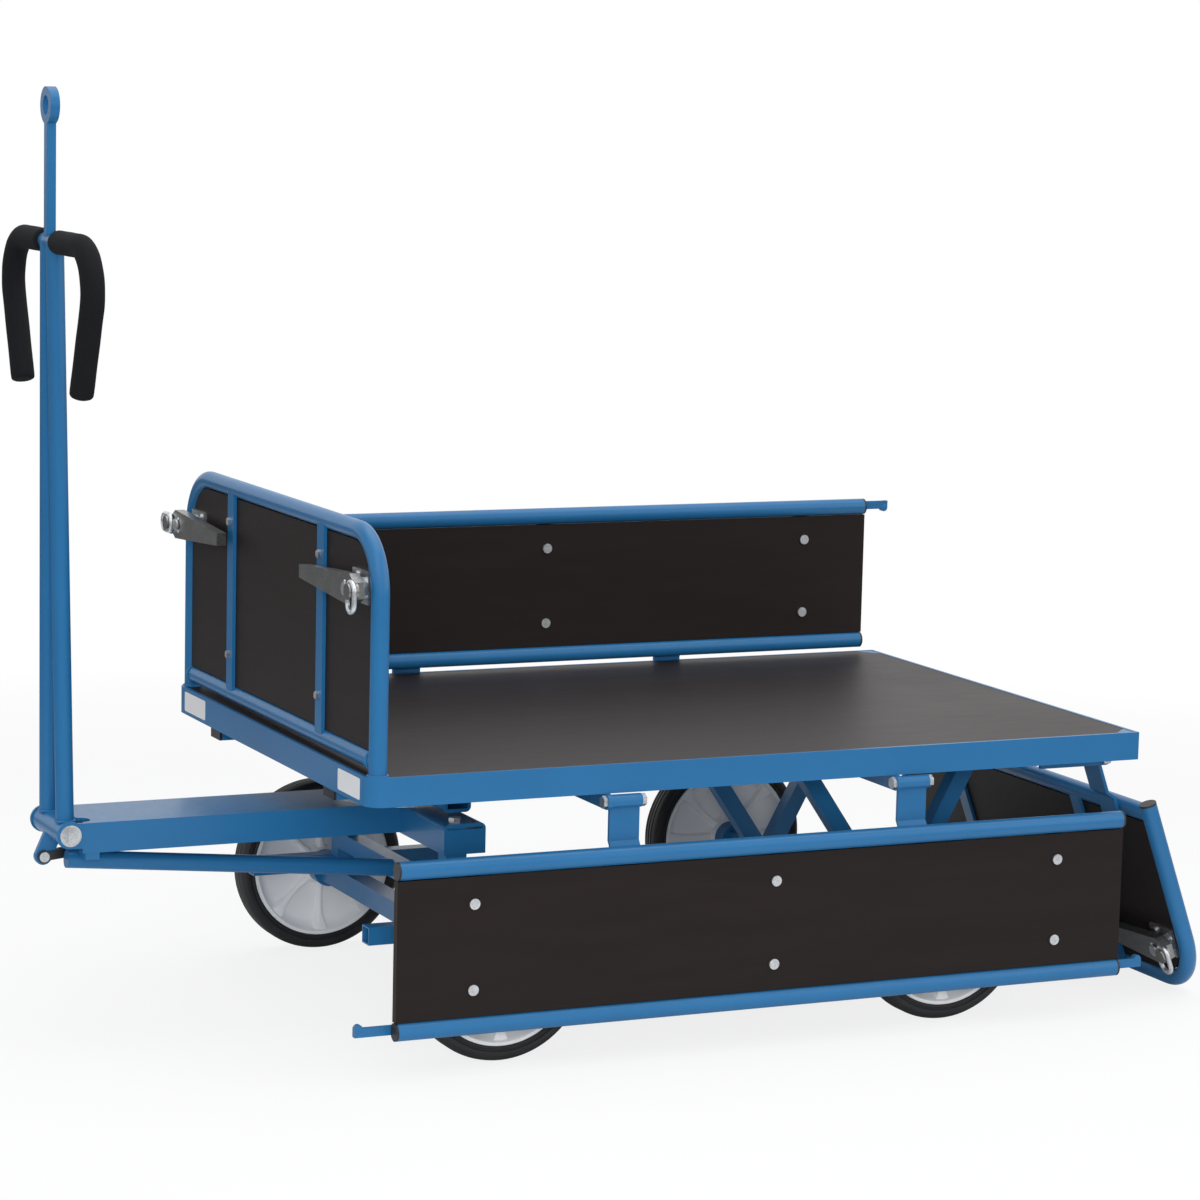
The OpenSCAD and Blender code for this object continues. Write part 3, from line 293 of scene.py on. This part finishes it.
def zinc_plate(name, colour):
    """Zinc plate: soft spangle and drawn streaks, with painted shade: the spangle's hollows are painted
    darker.
    """
    paint = Paint(name)
    spangle_and_hollow_shade = paint.node("ShaderNodeTexVoronoi", {"feature": "F1"}, {"Vector": paint.place, "Scale": 260.0},
                       output="Distance")
    streak = paint.noise(120.0, 4.0, paint.stretched((1.0, 1.0, 7.0)))
    cloud = paint.noise(40.0, 4.0)
    # the spangle field sinks dimples in the bump and darkens the same spots: painted shade in the hollows;
    # the cloud term is random tone
    tone = paint.blend(cloud * 0.6 + 0.4 * spangle_and_hollow_shade, shade(colour, 0.50), shade(colour, 1.45))
    return paint.finish(
        {"Specular IOR Level": 0.5},
        {"Base Color": tone, "Metallic": 0.88 + 0.12 * cloud,
         "Roughness": 0.20 + 0.16 * streak + 0.10 * cloud,
         "Normal": paint.bump(streak * 0.6 + 0.4 * spangle_and_hollow_shade, 0.12, 0.0004)})


def tyre_rubber(colour):
    paint = Paint("tyre_rubber")
    dust = paint.noise(35.0, 5.0)
    pores = paint.noise(900.0, 2.0)
    tone = paint.blend(dust.power(2.0), colour, shade(colour, 2.6))
    return paint.finish(
        {"Specular IOR Level": 0.45},
        {"Base Color": tone, "Roughness": 0.42 + 0.25 * dust, "Normal": paint.bump(pores, 0.25, 0.0004)})


def moulded_plastic(name, colour, rough, texture, lift):
    """Moulded plastic with a fine spark-eroded texture and faint flow marks."""
    paint = Paint(name)
    flow = paint.noise(14.0, 4.0)
    grit = paint.noise(texture, 2.0)
    tone = paint.blend(flow, shade(colour, 0.92), shade(colour, lift))
    return paint.finish(
        {"Specular IOR Level": 0.45},
        {"Base Color": tone, "Roughness": rough + 0.12 * flow, "Normal": paint.bump(grit, 0.15, 0.0003)})


def grip_foam(colour):
    """Closed-cell foam: matt, with small open pores, which are painted darker as painted shade."""
    paint = Paint("grip_foam")
    pores_and_pore_shade = paint.node("ShaderNodeTexVoronoi", {"feature": "F1"}, {"Vector": paint.place, "Scale": 700.0},
                       output="Distance")
    soft = paint.noise(45.0, 4.0)
    # the cell field sinks the pores in the bump and darkens them in the colour: painted shade in the pores
    tone = paint.blend(pores_and_pore_shade * 0.7 + 0.3 * soft, shade(colour, 0.8), shade(colour, 2.4))
    return paint.finish(
        {"Specular IOR Level": 0.15},
        {"Base Color": tone, "Roughness": 0.78 + 0.15 * soft,
         "Normal": paint.bump(pores_and_pore_shade + 0.4 * soft, 0.4, 0.0008)})


def blank_label(colour):
    """Matt white film, with nothing printed on it."""
    paint = Paint("blank_label")
    cloud = paint.noise(30.0, 4.0)
    return paint.finish(
        {"Specular IOR Level": 0.4},
        {"Base Color": paint.blend(cloud, shade(colour, 0.94), colour), "Roughness": 0.35 + 0.2 * cloud,
         "Normal": paint.bump(paint.noise(300.0, 2.0), 0.05, 0.0002)})


# ---- meshes ----------------------------------------------------------------------------------
def piece(name, mesh, material, body, slot, *stands_for):
    """Adds a finished mesh as a piece that rides on a body."""
    obj = bpy.data.objects.new(name, mesh)
    bpy.context.scene.collection.objects.link(obj)
    obj.data.materials.clear()
    obj.data.materials.append(material)
    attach(obj, body)
    if stands_for:
        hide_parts(*stands_for)
    return obj


def sealed(name, bm, sharp=35):
    """Turns a bmesh into a smooth-shaded mesh whose faces point outwards."""
    bmesh.ops.remove_doubles(bm, verts=bm.verts, dist=1e-6)
    bmesh.ops.recalc_face_normals(bm, faces=bm.faces)
    mesh = bpy.data.meshes.new(name)
    bm.to_mesh(mesh)
    bm.free()
    mesh.shade_smooth()
    mesh.set_sharp_from_angle(angle=math.radians(sharp))
    return mesh


def turned(profile, centre, steps):
    """A closed profile of (radius, y) turned about the Y axis through centre."""
    bm = bmesh.new()
    rings = []
    for k in range(steps):
        turn = 2 * math.pi * k / steps
        rings.append([bm.verts.new(centre + Vector((r * math.cos(turn), y, r * math.sin(turn))))
                      for r, y in profile])
    count = len(profile)
    for k in range(steps):
        here, there = rings[k], rings[(k + 1) % steps]
        for i in range(count):
            j = (i + 1) % count
            bm.faces.new((here[i], here[j], there[j], there[i]))
    return bm


def tube(path, radii, steps=32):
    """A closed tube round a path, with a radius at each point and pinched ends."""
    bm = bmesh.new()
    rings = []
    normal = Vector((1, 0, 0))
    for k, point in enumerate(path):
        ahead = (path[min(k + 1, len(path) - 1)] - path[max(k - 1, 0)]).normalized()
        side = ahead.cross(normal).normalized()
        rings.append([bm.verts.new(point + radii[k] * (math.cos(a) * normal + math.sin(a) * side))
                      for a in (2 * math.pi * i / steps for i in range(steps))])
    for here, there in zip(rings, rings[1:]):
        for i in range(steps):
            j = (i + 1) % steps
            bm.faces.new((here[i], here[j], there[j], there[i]))
    bm.faces.new(rings[0])
    bm.faces.new(rings[-1])
    return bm


# ---- Geometry Nodes --------------------------------------------------------------------------
def new_tree(name, *inputs):
    tree = bpy.data.node_groups.new(name, "GeometryNodeTree")
    tree.interface.new_socket("Geometry", in_out="INPUT", socket_type="NodeSocketGeometry")
    for label, kind in inputs:
        tree.interface.new_socket(label, in_out="INPUT", socket_type=kind)
    tree.interface.new_socket("Geometry", in_out="OUTPUT", socket_type="NodeSocketGeometry")
    return tree, tree.nodes.new("NodeGroupInput"), tree.nodes.new("NodeGroupOutput")


def wire(tree, pairs):
    for source, target in pairs:
        tree.links.new(source, target)


def close_tree(tree, geometry, given, out):
    """Every tree ends in Realize Instances and Set Material."""
    real = tree.nodes.new("GeometryNodeRealizeInstances")
    paint = tree.nodes.new("GeometryNodeSetMaterial")
    wire(tree, [(geometry, real.inputs[0]), (real.outputs[0], paint.inputs["Geometry"]),
                (given.outputs["Material"], paint.inputs["Material"]), (paint.outputs[0], out.inputs[0])])
    return tree


def spinner_tree():
    """Copies the given mesh round the Y axis."""
    tree, given, out = new_tree("copies_round_axle", ("Count", "NodeSocketInt"),
                                ("Centre", "NodeSocketVector"),
                                ("Material", "NodeSocketMaterial"))
    points = tree.nodes.new("GeometryNodePoints")
    place = tree.nodes.new("GeometryNodeInstanceOnPoints")
    index = tree.nodes.new("GeometryNodeInputIndex")
    step = tree.nodes.new("ShaderNodeMath")
    step.operation = "DIVIDE"
    step.inputs[0].default_value = 2 * math.pi
    angle = tree.nodes.new("ShaderNodeMath")
    angle.operation = "MULTIPLY"
    turn = tree.nodes.new("ShaderNodeCombineXYZ")
    move = tree.nodes.new("GeometryNodeTransform")
    wire(tree, [(given.outputs["Count"], points.inputs["Count"]), (given.outputs["Count"], step.inputs[1]),
                (index.outputs[0], angle.inputs[0]), (step.outputs[0], angle.inputs[1]),
                (angle.outputs[0], turn.inputs["Y"]), (points.outputs[0], place.inputs["Points"]),
                (given.outputs["Geometry"], place.inputs["Instance"]),
                (turn.outputs[0], place.inputs["Rotation"]), (place.outputs[0], move.inputs["Geometry"]),
                (given.outputs["Centre"], move.inputs["Translation"])])
    return close_tree(tree, move.outputs[0], given, out)


def bead_tree():
    """Lays weld ripples along the given edges."""
    tree, given, out = new_tree("weld_ripples", ("Pitch", "NodeSocketFloat"), ("Radius", "NodeSocketFloat"),
                                ("Material", "NodeSocketMaterial"))
    curve = tree.nodes.new("GeometryNodeMeshToCurve")
    points = tree.nodes.new("GeometryNodeCurveToPoints")
    points.mode = "LENGTH"
    drop = tree.nodes.new("GeometryNodeMeshIcoSphere")
    drop.inputs["Subdivisions"].default_value = 2
    smooth = tree.nodes.new("GeometryNodeSetShadeSmooth")
    place = tree.nodes.new("GeometryNodeInstanceOnPoints")
    wire(tree, [(given.outputs["Geometry"], curve.inputs[0]), (curve.outputs[0], points.inputs["Curve"]),
                (given.outputs["Pitch"], points.inputs["Length"]),
                (given.outputs["Radius"], drop.inputs["Radius"]),
                (drop.outputs["Mesh"], smooth.inputs["Geometry"]),
                (points.outputs["Points"], place.inputs["Points"]),
                (smooth.outputs[0], place.inputs["Instance"]),
                (points.outputs["Rotation"], place.inputs["Rotation"])])
    return close_tree(tree, place.outputs[0], given, out)


def rivet_tree():
    """Puts a domed rivet head on every vertex of the given mesh."""
    tree, given, out = new_tree("rivet_heads", ("Radius", "NodeSocketFloat"),
                                ("Material", "NodeSocketMaterial"))
    dome = tree.nodes.new("GeometryNodeMeshUVSphere")
    dome.inputs["Segments"].default_value = 20
    dome.inputs["Rings"].default_value = 10
    smooth = tree.nodes.new("GeometryNodeSetShadeSmooth")
    place = tree.nodes.new("GeometryNodeInstanceOnPoints")
    wire(tree, [(given.outputs["Radius"], dome.inputs["Radius"]),
                (dome.outputs["Mesh"], smooth.inputs["Geometry"]),
                (given.outputs["Geometry"], place.inputs["Points"]),
                (smooth.outputs[0], place.inputs["Instance"])])
    return close_tree(tree, place.outputs[0], given, out)


def grown(name, mesh, tree, values):
    """Runs a tree on a mesh and returns the plain mesh that it makes."""
    seed = bpy.data.objects.new(name + "_seed", mesh)
    bpy.context.scene.collection.objects.link(seed)
    growth = seed.modifiers.new("growth", "NODES")
    growth.node_group = tree
    for item in tree.interface.items_tree:
        if item.in_out == "INPUT" and item.name in values:
            growth[item.identifier] = values[item.name]
    bpy.context.view_layer.update()
    graph = bpy.context.evaluated_depsgraph_get()
    made = bpy.data.meshes.new_from_object(seed.evaluated_get(graph))
    made.name = name
    bpy.data.objects.remove(seed)
    return made


# ---- shared state ----------------------------------------------------------------------------
def finishes():
    return bpy.context.scene.cart_finish


def sizes():
    return bpy.context.scene.cart_sizes


def material(name):
    return bpy.data.materials[name]


def middle_of(node):
    low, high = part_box(node)
    return (low + high) / 2


# ---- operators -------------------------------------------------------------------------------
class CART_OT_finish(bpy.types.Operator):
    """Gives every carried-over piece its finish"""

    bl_idname = "cart.finish"
    bl_label = "Finishes"

    def execute(self, context):
        colours = finishes()
        powder_coat(colours.coat)
        zinc_plate("bright_zinc", colours.zinc)
        # a darker copy of the zinc for the latch levers, as painted shade
        zinc_plate("lever_zinc_painted_shade", colours.lever)
        tyre_rubber(colours.rubber)
        grip_foam(colours.foam)
        blank_label(colours.label)
        moulded_plastic("wheel_plastic", colours.centre, 0.30, 420.0, 1.04)
        moulded_plastic("black_plastic", colours.plastic, 0.40, 700.0, 1.6)
        moulded_plastic("spring_paint", colours.plastic, 0.22, 300.0, 1.5)
        by_slot = {"frame": "blue_powder_coat", "zinc": "bright_zinc", "cap": "black_plastic",
                   "grip": "grip_foam", "tyre": "tyre_rubber", "wheel": "wheel_plastic",
                   "spring": "spring_paint"}
        slots = {part["node"]: part["material_slot"] for part in frame["record"]["subparts"]}
        for node, obj in frame["nodes"].items():
            if slots[node] == "board":
                coat = self.board(node)
            else:
                # the latch levers take the darker zinc, which is painted shade
                coat = material("lever_zinc_painted_shade" if node.startswith("lever_") else by_slot[slots[node]])
            obj.data.materials.clear()
            obj.data.materials.append(coat)
        return {"FINISHED"}

    def board(self, node):
        """Each board's film lies in its own plane."""
        colours = finishes()
        low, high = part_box(node)
        if node == "tail_panel":
            normal = Vector((math.cos(TAIL_FOLD), 0, -math.sin(TAIL_FOLD)))
            depths = [normal.dot(v.co) for v in frame["nodes"][node].data.vertices]
            middle, thickness = (min(depths) + max(depths)) / 2, max(depths) - min(depths)
        else:
            axis = min(range(3), key=lambda i: high[i] - low[i])
            normal = Vector([1.0 if i == axis else 0.0 for i in range(3)])
            middle, thickness = (low[axis] + high[axis]) / 2, high[axis] - low[axis]
        return film_board("film_" + node, colours.film, colours.ply, tuple(normal), middle, thickness,
                          0.26 if node == "deck" else 0.12)


class CART_OT_tyres(bpy.types.Operator):
    """Turns the tyres: beaded flanks, round shoulders and a grooved tread"""

    bl_idname = "cart.tyres"
    bl_label = "Tyres"

    def execute(self, context):
        for wheel in WHEELS:
            low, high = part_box("tyre_" + wheel)
            centre = (low + high) / 2
            outer, half = (high.z - low.z) / 2, (high.y - low.y) / 2
            inner = outer - 22 * MM
            flank = [(inner + r * MM, half - y * MM) for r, y in TYRE_BEAD]
            flank += [(outer - r * MM, half - y * MM) for r, y in TYRE_SHOULDER]
            groove = []
            for at in TREAD_GROOVES:
                groove += [(outer, (at + 1.8) * MM), (outer - 2.4 * MM, (at + 1.0) * MM),
                           (outer - 2.4 * MM, (at - 1.0) * MM), (outer, (at - 1.8) * MM)]
            profile = flank + groove + [(r, -y) for r, y in reversed(flank)]
            mesh = sealed("tyre", turned(profile, centre, sizes().wheel_steps), 28)
            piece("rubber_tyre_" + wheel, mesh, material("tyre_rubber"), "wheel_" + wheel, "tyre",
                  "tyre_" + wheel)
        return {"FINISHED"}


class CART_OT_wheel_centres(bpy.types.Operator):
    """Builds the moulded wheel centres: a dished disc, a rim, a hub and radial ribs"""

    bl_idname = "cart.wheel_centres"
    bl_label = "Wheel centres"

    def execute(self, context):
        tree = spinner_tree()
        for wheel in WHEELS:
            low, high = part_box("centre_" + wheel)
            centre = (low + high) / 2
            rim = (high.z - low.z) / 2 - 0.0002
            half = (high.y - low.y) / 2
            face = [(r * MM, half - y * MM) for r, y in WHEEL_HUB]
            face += [(r * MM, y * MM) for r, y in WHEEL_DISH]
            face += [(rim - r * MM, y * MM) for r, y in WHEEL_RIM]
            profile = face + [(r, -y) for r, y in reversed(face)]
            disc = sealed("disc", turned(profile, centre, sizes().wheel_steps), 32)
            piece("wheel_disc_" + wheel, disc, material("wheel_plastic"), "wheel_" + wheel, "wheel",
                  "centre_" + wheel)
            ribs = grown("ribs", self.rib(rim), tree,
                         {"Count": sizes().rib_count, "Centre": centre,
                          "Material": material("wheel_plastic")})
            piece("wheel_ribs_" + wheel, ribs, material("wheel_plastic"), "wheel_" + wheel, "wheel")
        return {"FINISHED"}

    def rib(self, rim):
        """One rib on each face, highest at the hub and spreading into the rim."""
        bm = bmesh.new()
        steps = 18
        for s in (-1, 1):
            rows = []
            for k in range(steps + 1):
                t = k / steps
                r = 25 * MM + t * (rim - 31 * MM)
                flare = max(0.0, (t - 0.45) / 0.55) ** 2
                root = max(0.0, (0.25 - t) / 0.25) ** 2
                top = (17.5 - 4.5 * math.sin(math.pi * min(1.0, 1.15 * t))) * MM
                w = sizes().rib_thickness / 2 * (1.0 + 2.6 * flare + 0.8 * root)
                rows.append([bm.verts.new((r, s * y, z))
                             for y, z in ((3 * MM, -w - 2.5 * MM), (top - 4 * MM, -w - 1 * MM),
                                          (top - 1 * MM, -w), (top, -w * 0.6), (top, w * 0.6),
                                          (top - 1 * MM, w), (top - 4 * MM, w + 1 * MM),
                                          (3 * MM, w + 2.5 * MM))])
            for here, there in zip(rows, rows[1:]):
                for i in range(8):
                    j = (i + 1) % 8
                    bm.faces.new((here[i], here[j], there[j], there[i]))
            bm.faces.new(rows[0])
            bm.faces.new(rows[-1])
        return sealed("rib", bm, 40)


class CART_OT_grips(bpy.types.Operator):
    """Pulls the foam grips over the bent handle"""

    bl_idname = "cart.grips"
    bl_label = "Foam grips"

    def execute(self, context):
        s = sizes()
        low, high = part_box("grips")
        middle = (low + high) / 2
        radius = (high.x - low.x) / 2 - 0.0001
        top = high.z - radius
        for name, side in (("near", -1), ("far", 1)):
            straight = s.grip_bend_at - s.grip_straight
            path = [Vector((middle.x, middle.y + side * (s.grip_straight + straight * k / 12), top))
                    for k in range(13)]
            for k in range(1, 25):
                a = s.grip_turn * k / 24
                out = s.grip_bend_at + s.grip_arch * math.sin(a)
                path.append(Vector((middle.x, middle.y + side * out, top - s.grip_arch * (1 - math.cos(a)))))
            down = (path[-1] - path[-2]).normalized()
            elbow = path[-1]
            path += [elbow + down * s.grip_leg * k / 14 for k in range(1, 15)]
            ahead = (path[1] - path[0]).normalized()
            path = ([path[0] + ahead * d for d, _ in GRIP_ENDS] + path[1:-1]
                    + [path[-1] - down * d for d, _ in reversed(GRIP_ENDS)])
            radii = [k * radius for _, k in GRIP_ENDS]
            body = len(path) - 2 * len(GRIP_ENDS)
            radii += [radius * (1 - 0.006 - 0.006 * math.sin(0.9 * i)) for i in range(body)]
            radii += [k * radius for _, k in reversed(GRIP_ENDS)]
            stands_for = ["grips"] if side < 0 else []
            piece("foam_grip_" + name, sealed("grip", tube(path, radii, 40), 60), material("grip_foam"),
                  "drawbar", "grip", *stands_for)
        return {"FINISHED"}


class CART_OT_welds(bpy.types.Operator):
    """Lays the weld beads where the frame's tubes meet"""

    bl_idname = "cart.welds"
    bl_label = "Weld beads"

    def execute(self, context):
        tree = bead_tree()
        rim_low, rim_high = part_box("rim")
        post_low, post_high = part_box("head_frame")
        tube_r = 12.5 * MM
        post_x = post_high.x - tube_r
        rail = (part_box("head_panel")[0].z) - 13 * MM
        rings = {"platform": [], "drawbar": []}
        for side in (-1, 1):
            y = (post_low.y + post_high.y) / 2 + side * ((post_high.y - post_low.y) / 2 - tube_r)
            rings["platform"].append((Vector((post_x, y, rim_high.z)), Vector((0, 0, 1)), tube_r))
            rings["platform"].append((Vector((post_x, y - side * tube_r, rail)), Vector((0, 1, 0)), tube_r))
        sleeve_low, sleeve_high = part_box("drawbar")
        pivot = middle_of("pivot_bolt")
        for side in (-1, 1):
            rings["drawbar"].append((Vector((pivot.x, (sleeve_low.y + sleeve_high.y) / 2 + side * 39.5 * MM,
                                             pivot.z + 16.5 * MM)), Vector((0, 0, 1)), tube_r))
        for body, spots in rings.items():
            bm = bmesh.new()
            for centre, axis, radius in spots:
                turn = axis.to_track_quat("Z", "Y").to_matrix().to_4x4()
                bmesh.ops.create_circle(bm, cap_ends=False, radius=radius + 0.6 * MM, segments=48,
                                        matrix=Matrix.Translation(centre) @ turn)
            path = bpy.data.meshes.new("bead_path")
            bm.to_mesh(path)
            bm.free()
            beads = grown("beads", path, tree, {"Pitch": sizes().bead_pitch, "Radius": sizes().bead,
                                                "Material": material("blue_powder_coat")})
            piece("weld_beads_" + body, beads, material("blue_powder_coat"), body, "frame")
        return {"FINISHED"}


class CART_OT_hooks(bpy.types.Operator):
    """Curls the ends of the boards' hook bars"""

    bl_idname = "cart.hooks"
    bl_label = "Hook bar ends"

    def execute(self, context):
        for side, rise in (("near", 1), ("far", -1)):
            node = side + "_frame"
            low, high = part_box(node)
            for end, edge, inward in (("front", low.x, 1), ("rear", high.x, -1)):
                tip = [v.co for v in frame["nodes"][node].data.vertices if abs(v.co.x - edge) < 0.5 * MM]
                y0, y1 = min(v.y for v in tip), max(v.y for v in tip)
                z = max(v.z for v in tip) if rise > 0 else min(v.z for v in tip)
                radius = sizes().curl
                bm = bmesh.new()
                turn = Matrix.Rotation(math.radians(90), 4, "X")
                place = Matrix.Translation(Vector((edge + inward * (radius + 0.1 * MM), (y0 + y1) / 2,
                                                   z - rise * 1.5 * MM)))
                bmesh.ops.create_cone(bm, cap_ends=True, segments=40, radius1=radius, radius2=radius,
                                      depth=y1 - y0 + 0.6 * MM, matrix=place @ turn)
                rims = [e for e in bm.edges if len(e.link_faces) == 2
                        and any(len(f.verts) > 4 for f in e.link_faces)]
                bmesh.ops.bevel(bm, geom=rims, offset=0.8 * MM, segments=3, profile=0.5, affect="EDGES")
                piece("hook_curl_%s_%s" % (side, end), sealed("curl", bm, 40), material("blue_powder_coat"),
                      side + "_board", "frame")
        return {"FINISHED"}


class CART_OT_rivets(bpy.types.Operator):
    """Sets the rivets on the four latch levers"""

    bl_idname = "cart.rivets"
    bl_label = "Latch rivets"

    def execute(self, context):
        tree = rivet_tree()
        for end in ("head", "tail"):
            for side in SIDES:
                node = "lever_%s_%s" % (end, side)
                low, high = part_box(node)
                s = -1 if side == "near" else 1
                spots = []
                if end == "head":
                    out = Vector((-1, 0, 0))
                    up = Vector((0, 0, 1))
                    root = Vector((low.x + 10.3 * MM, 0, (low.z + high.z) / 2))
                else:
                    out = Vector((math.cos(TAIL_FOLD), 0, -math.sin(TAIL_FOLD)))
                    up = Vector((math.sin(TAIL_FOLD), 0, math.cos(TAIL_FOLD)))
                    depth = max(out.dot(v.co) for v in frame["nodes"][node].data.vertices)
                    lift = [up.dot(v.co) for v in frame["nodes"][node].data.vertices]
                    root = out * (depth - 10.3 * MM) + up * (min(lift) + max(lift)) / 2
                outer_y = high.y if s > 0 else low.y
                for u, v in ((44, 9), (44, -9)):
                    spots.append(root + up * (v * MM) + Vector((0, outer_y - s * u * MM, 0)))
                path = bpy.data.meshes.new("rivet_spots")
                path.from_pydata([tuple(p - out * 0.8 * MM) for p in spots], [], [])
                heads = grown("rivets", path, tree,
                              {"Radius": 2.6 * MM, "Material": material("bright_zinc")})
                piece("latch_rivets_%s_%s" % (end, side), heads, material("bright_zinc"), node, "zinc")
        return {"FINISHED"}


class CART_OT_labels(bpy.types.Operator):
    """Sticks two blank white labels on the front of the rim"""

    bl_idname = "cart.labels"
    bl_label = "Blank labels"

    def execute(self, context):
        low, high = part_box("rim")
        centre_y = (low.y + high.y) / 2
        z = (low.z + high.z) / 2
        half = sizes().label_height / 2
        for name, y0, y1 in LABELS:
            bm = bmesh.new()
            outline = []
            corner = 3 * MM
            ends = ((y1 - corner, half - corner, 0), (y0 + corner, half - corner, 90),
                    (y0 + corner, corner - half, 180), (y1 - corner, corner - half, 270))
            for y, dz, start in ends:
                for k in range(7):
                    a = math.radians(start + 15 * k)
                    outline.append((centre_y + y + corner * math.cos(a), z + dz + corner * math.sin(a)))
            front = [bm.verts.new((low.x - 0.3 * MM, y, h)) for y, h in outline]
            back = [bm.verts.new((low.x + 0.1 * MM, y, h)) for y, h in outline]
            bm.faces.new(front)
            bm.faces.new(back[::-1])
            for i in range(len(outline)):
                j = (i + 1) % len(outline)
                bm.faces.new((front[i], front[j], back[j], back[i]))
            piece("blank_label_" + name, sealed("label", bm, 30), material("blank_label"), "platform",
                  "wheel")
        return {"FINISHED"}


class CART_OT_stage(bpy.types.Operator):
    """Sets the pale floor, the soft light and the camera"""

    bl_idname = "cart.stage"
    bl_label = "Stage"

    def execute(self, context):
        scene = context.scene
        scene.view_settings.view_transform = "Standard"
        self.floor()
        self.world(scene)
        self.lamps()
        self.camera(scene)
        return {"FINISHED"}

    def floor(self):
        """A pale floor that keeps the cart's shadow and fades to plain white away from it."""
        bm = bmesh.new()
        bmesh.ops.create_circle(bm, cap_ends=True, radius=40, segments=64)
        mesh = bpy.data.meshes.new("floor")
        bm.to_mesh(mesh)
        bm.free()
        floor = bpy.data.objects.new("floor", mesh)
        bpy.context.scene.collection.objects.link(floor)
        floor.location.z = -0.0005
        paint = Paint("floor")
        ray = paint.node("ShaderNodeLightPath", output="Is Camera Ray")
        radius = paint.node("ShaderNodeVectorMath", {"operation": "LENGTH"}, {0: paint.place},
                            output="Value")
        away = ((radius - FLOOR_CLEAR) * FLOOR_FADE).calc("MAXIMUM", 0.0).calc("MINIMUM", 1.0)
        tone = paint.blend(away, (0.92, 0.92, 0.92), (0.22, 0.22, 0.22))
        matt = paint.node("ShaderNodeBsdfDiffuse", {}, {"Color": tone})
        white = paint.node("ShaderNodeEmission", {}, {"Color": (1, 1, 1, 1), "Strength": 1.0})
        seen = ray * (away * (1 - FLOOR_LIFT) + FLOOR_LIFT)
        mixed = paint.node("ShaderNodeMixShader", {}, {0: seen, 1: matt, 2: white})
        floor.data.materials.append(paint.shown(mixed))

    def world(self, scene):
        """Soft light all round; the camera and reflections see plain white."""
        world = bpy.data.worlds.new("studio")
        world.use_nodes = True
        scene.world = world
        nodes, links = world.node_tree.nodes, world.node_tree.links
        nodes.clear()
        ray = nodes.new("ShaderNodeLightPath")
        seen = nodes.new("ShaderNodeBackground")
        seen.inputs["Strength"].default_value = 1.0
        seen.inputs["Color"].default_value = (1, 1, 1, 1)
        soft = nodes.new("ShaderNodeBackground")
        soft.inputs["Color"].default_value = (0.96, 0.98, 1.0, 1)
        soft.inputs["Strength"].default_value = SOFT_LIGHT
        either = nodes.new("ShaderNodeMath")
        either.operation = "MAXIMUM"
        mix = nodes.new("ShaderNodeMixShader")
        out = nodes.new("ShaderNodeOutputWorld")
        links.new(ray.outputs["Is Camera Ray"], either.inputs[0])
        links.new(ray.outputs["Is Glossy Ray"], either.inputs[1])
        links.new(either.outputs[0], mix.inputs[0])
        links.new(soft.outputs[0], mix.inputs[1])
        links.new(seen.outputs[0], mix.inputs[2])
        links.new(mix.outputs[0], out.inputs["Surface"])

    def lamps(self):
        """Four area lamps; the front one gives no highlights."""
        for name, at, width, power in LAMPS:
            lamp = bpy.data.lights.new(name, "AREA")
            lamp.size = width
            lamp.energy = power
            obj = bpy.data.objects.new(name, lamp)
            obj.location = at
            obj.visible_glossy = name != "front"
            aim = Vector((0, 0, 0.4)) - Vector(at)
            obj.rotation_euler = aim.to_track_quat("-Z", "Y").to_euler()
            bpy.context.scene.collection.objects.link(obj)

    def camera(self, scene):
        yaw, pitch, roll = CAMERA_TURN
        ahead = Vector((math.sin(yaw) * math.cos(pitch), math.cos(yaw) * math.cos(pitch), -math.sin(pitch)))
        level = Vector((math.cos(yaw), -math.sin(yaw), 0))
        rise = level.cross(ahead)
        right = level * math.cos(roll) + rise * math.sin(roll)
        up = rise * math.cos(roll) - level * math.sin(roll)
        data = bpy.data.cameras.new("camera")
        data.sensor_width = 36
        data.lens = CAMERA_LENS
        data.clip_end = 200
        camera = bpy.data.objects.new("camera", data)
        scene.collection.objects.link(camera)
        turn = Matrix((right, up, -ahead)).transposed().to_4x4()
        camera.matrix_world = Matrix.Translation(CAMERA_AT) @ turn
        scene.camera = camera


class CART_PT_panel(bpy.types.Panel):
    """Lists the cart's operators and settings"""

    bl_label = "Folding platform cart"
    bl_idname = "CART_PT_panel"
    bl_space_type = "VIEW_3D"
    bl_region_type = "UI"
    bl_category = "Cart"

    def draw(self, context):
        for operator in STEPS:
            self.layout.operator(operator.bl_idname)
        for group in (context.scene.cart_finish, context.scene.cart_sizes):
            for key in group.__annotations__:
                self.layout.prop(group, key)


STEPS = (CART_OT_finish, CART_OT_tyres, CART_OT_wheel_centres, CART_OT_grips, CART_OT_welds, CART_OT_hooks,
         CART_OT_rivets, CART_OT_labels, CART_OT_stage)
CLASSES = (CartFinish, CartSizes) + STEPS + (CART_PT_panel,)


def register():
    for cls in CLASSES:
        bpy.utils.register_class(cls)
    bpy.types.Scene.cart_finish = PointerProperty(type=CartFinish)
    bpy.types.Scene.cart_sizes = PointerProperty(type=CartSizes)


def unregister():
    del bpy.types.Scene.cart_sizes
    del bpy.types.Scene.cart_finish
    for cls in reversed(CLASSES):
        bpy.utils.unregister_class(cls)


def main():
    register()
    for step in STEPS:
        group, name = step.bl_idname.split(".")
        getattr(getattr(bpy.ops, group), name)()


if __name__ == "__main__":
    main()
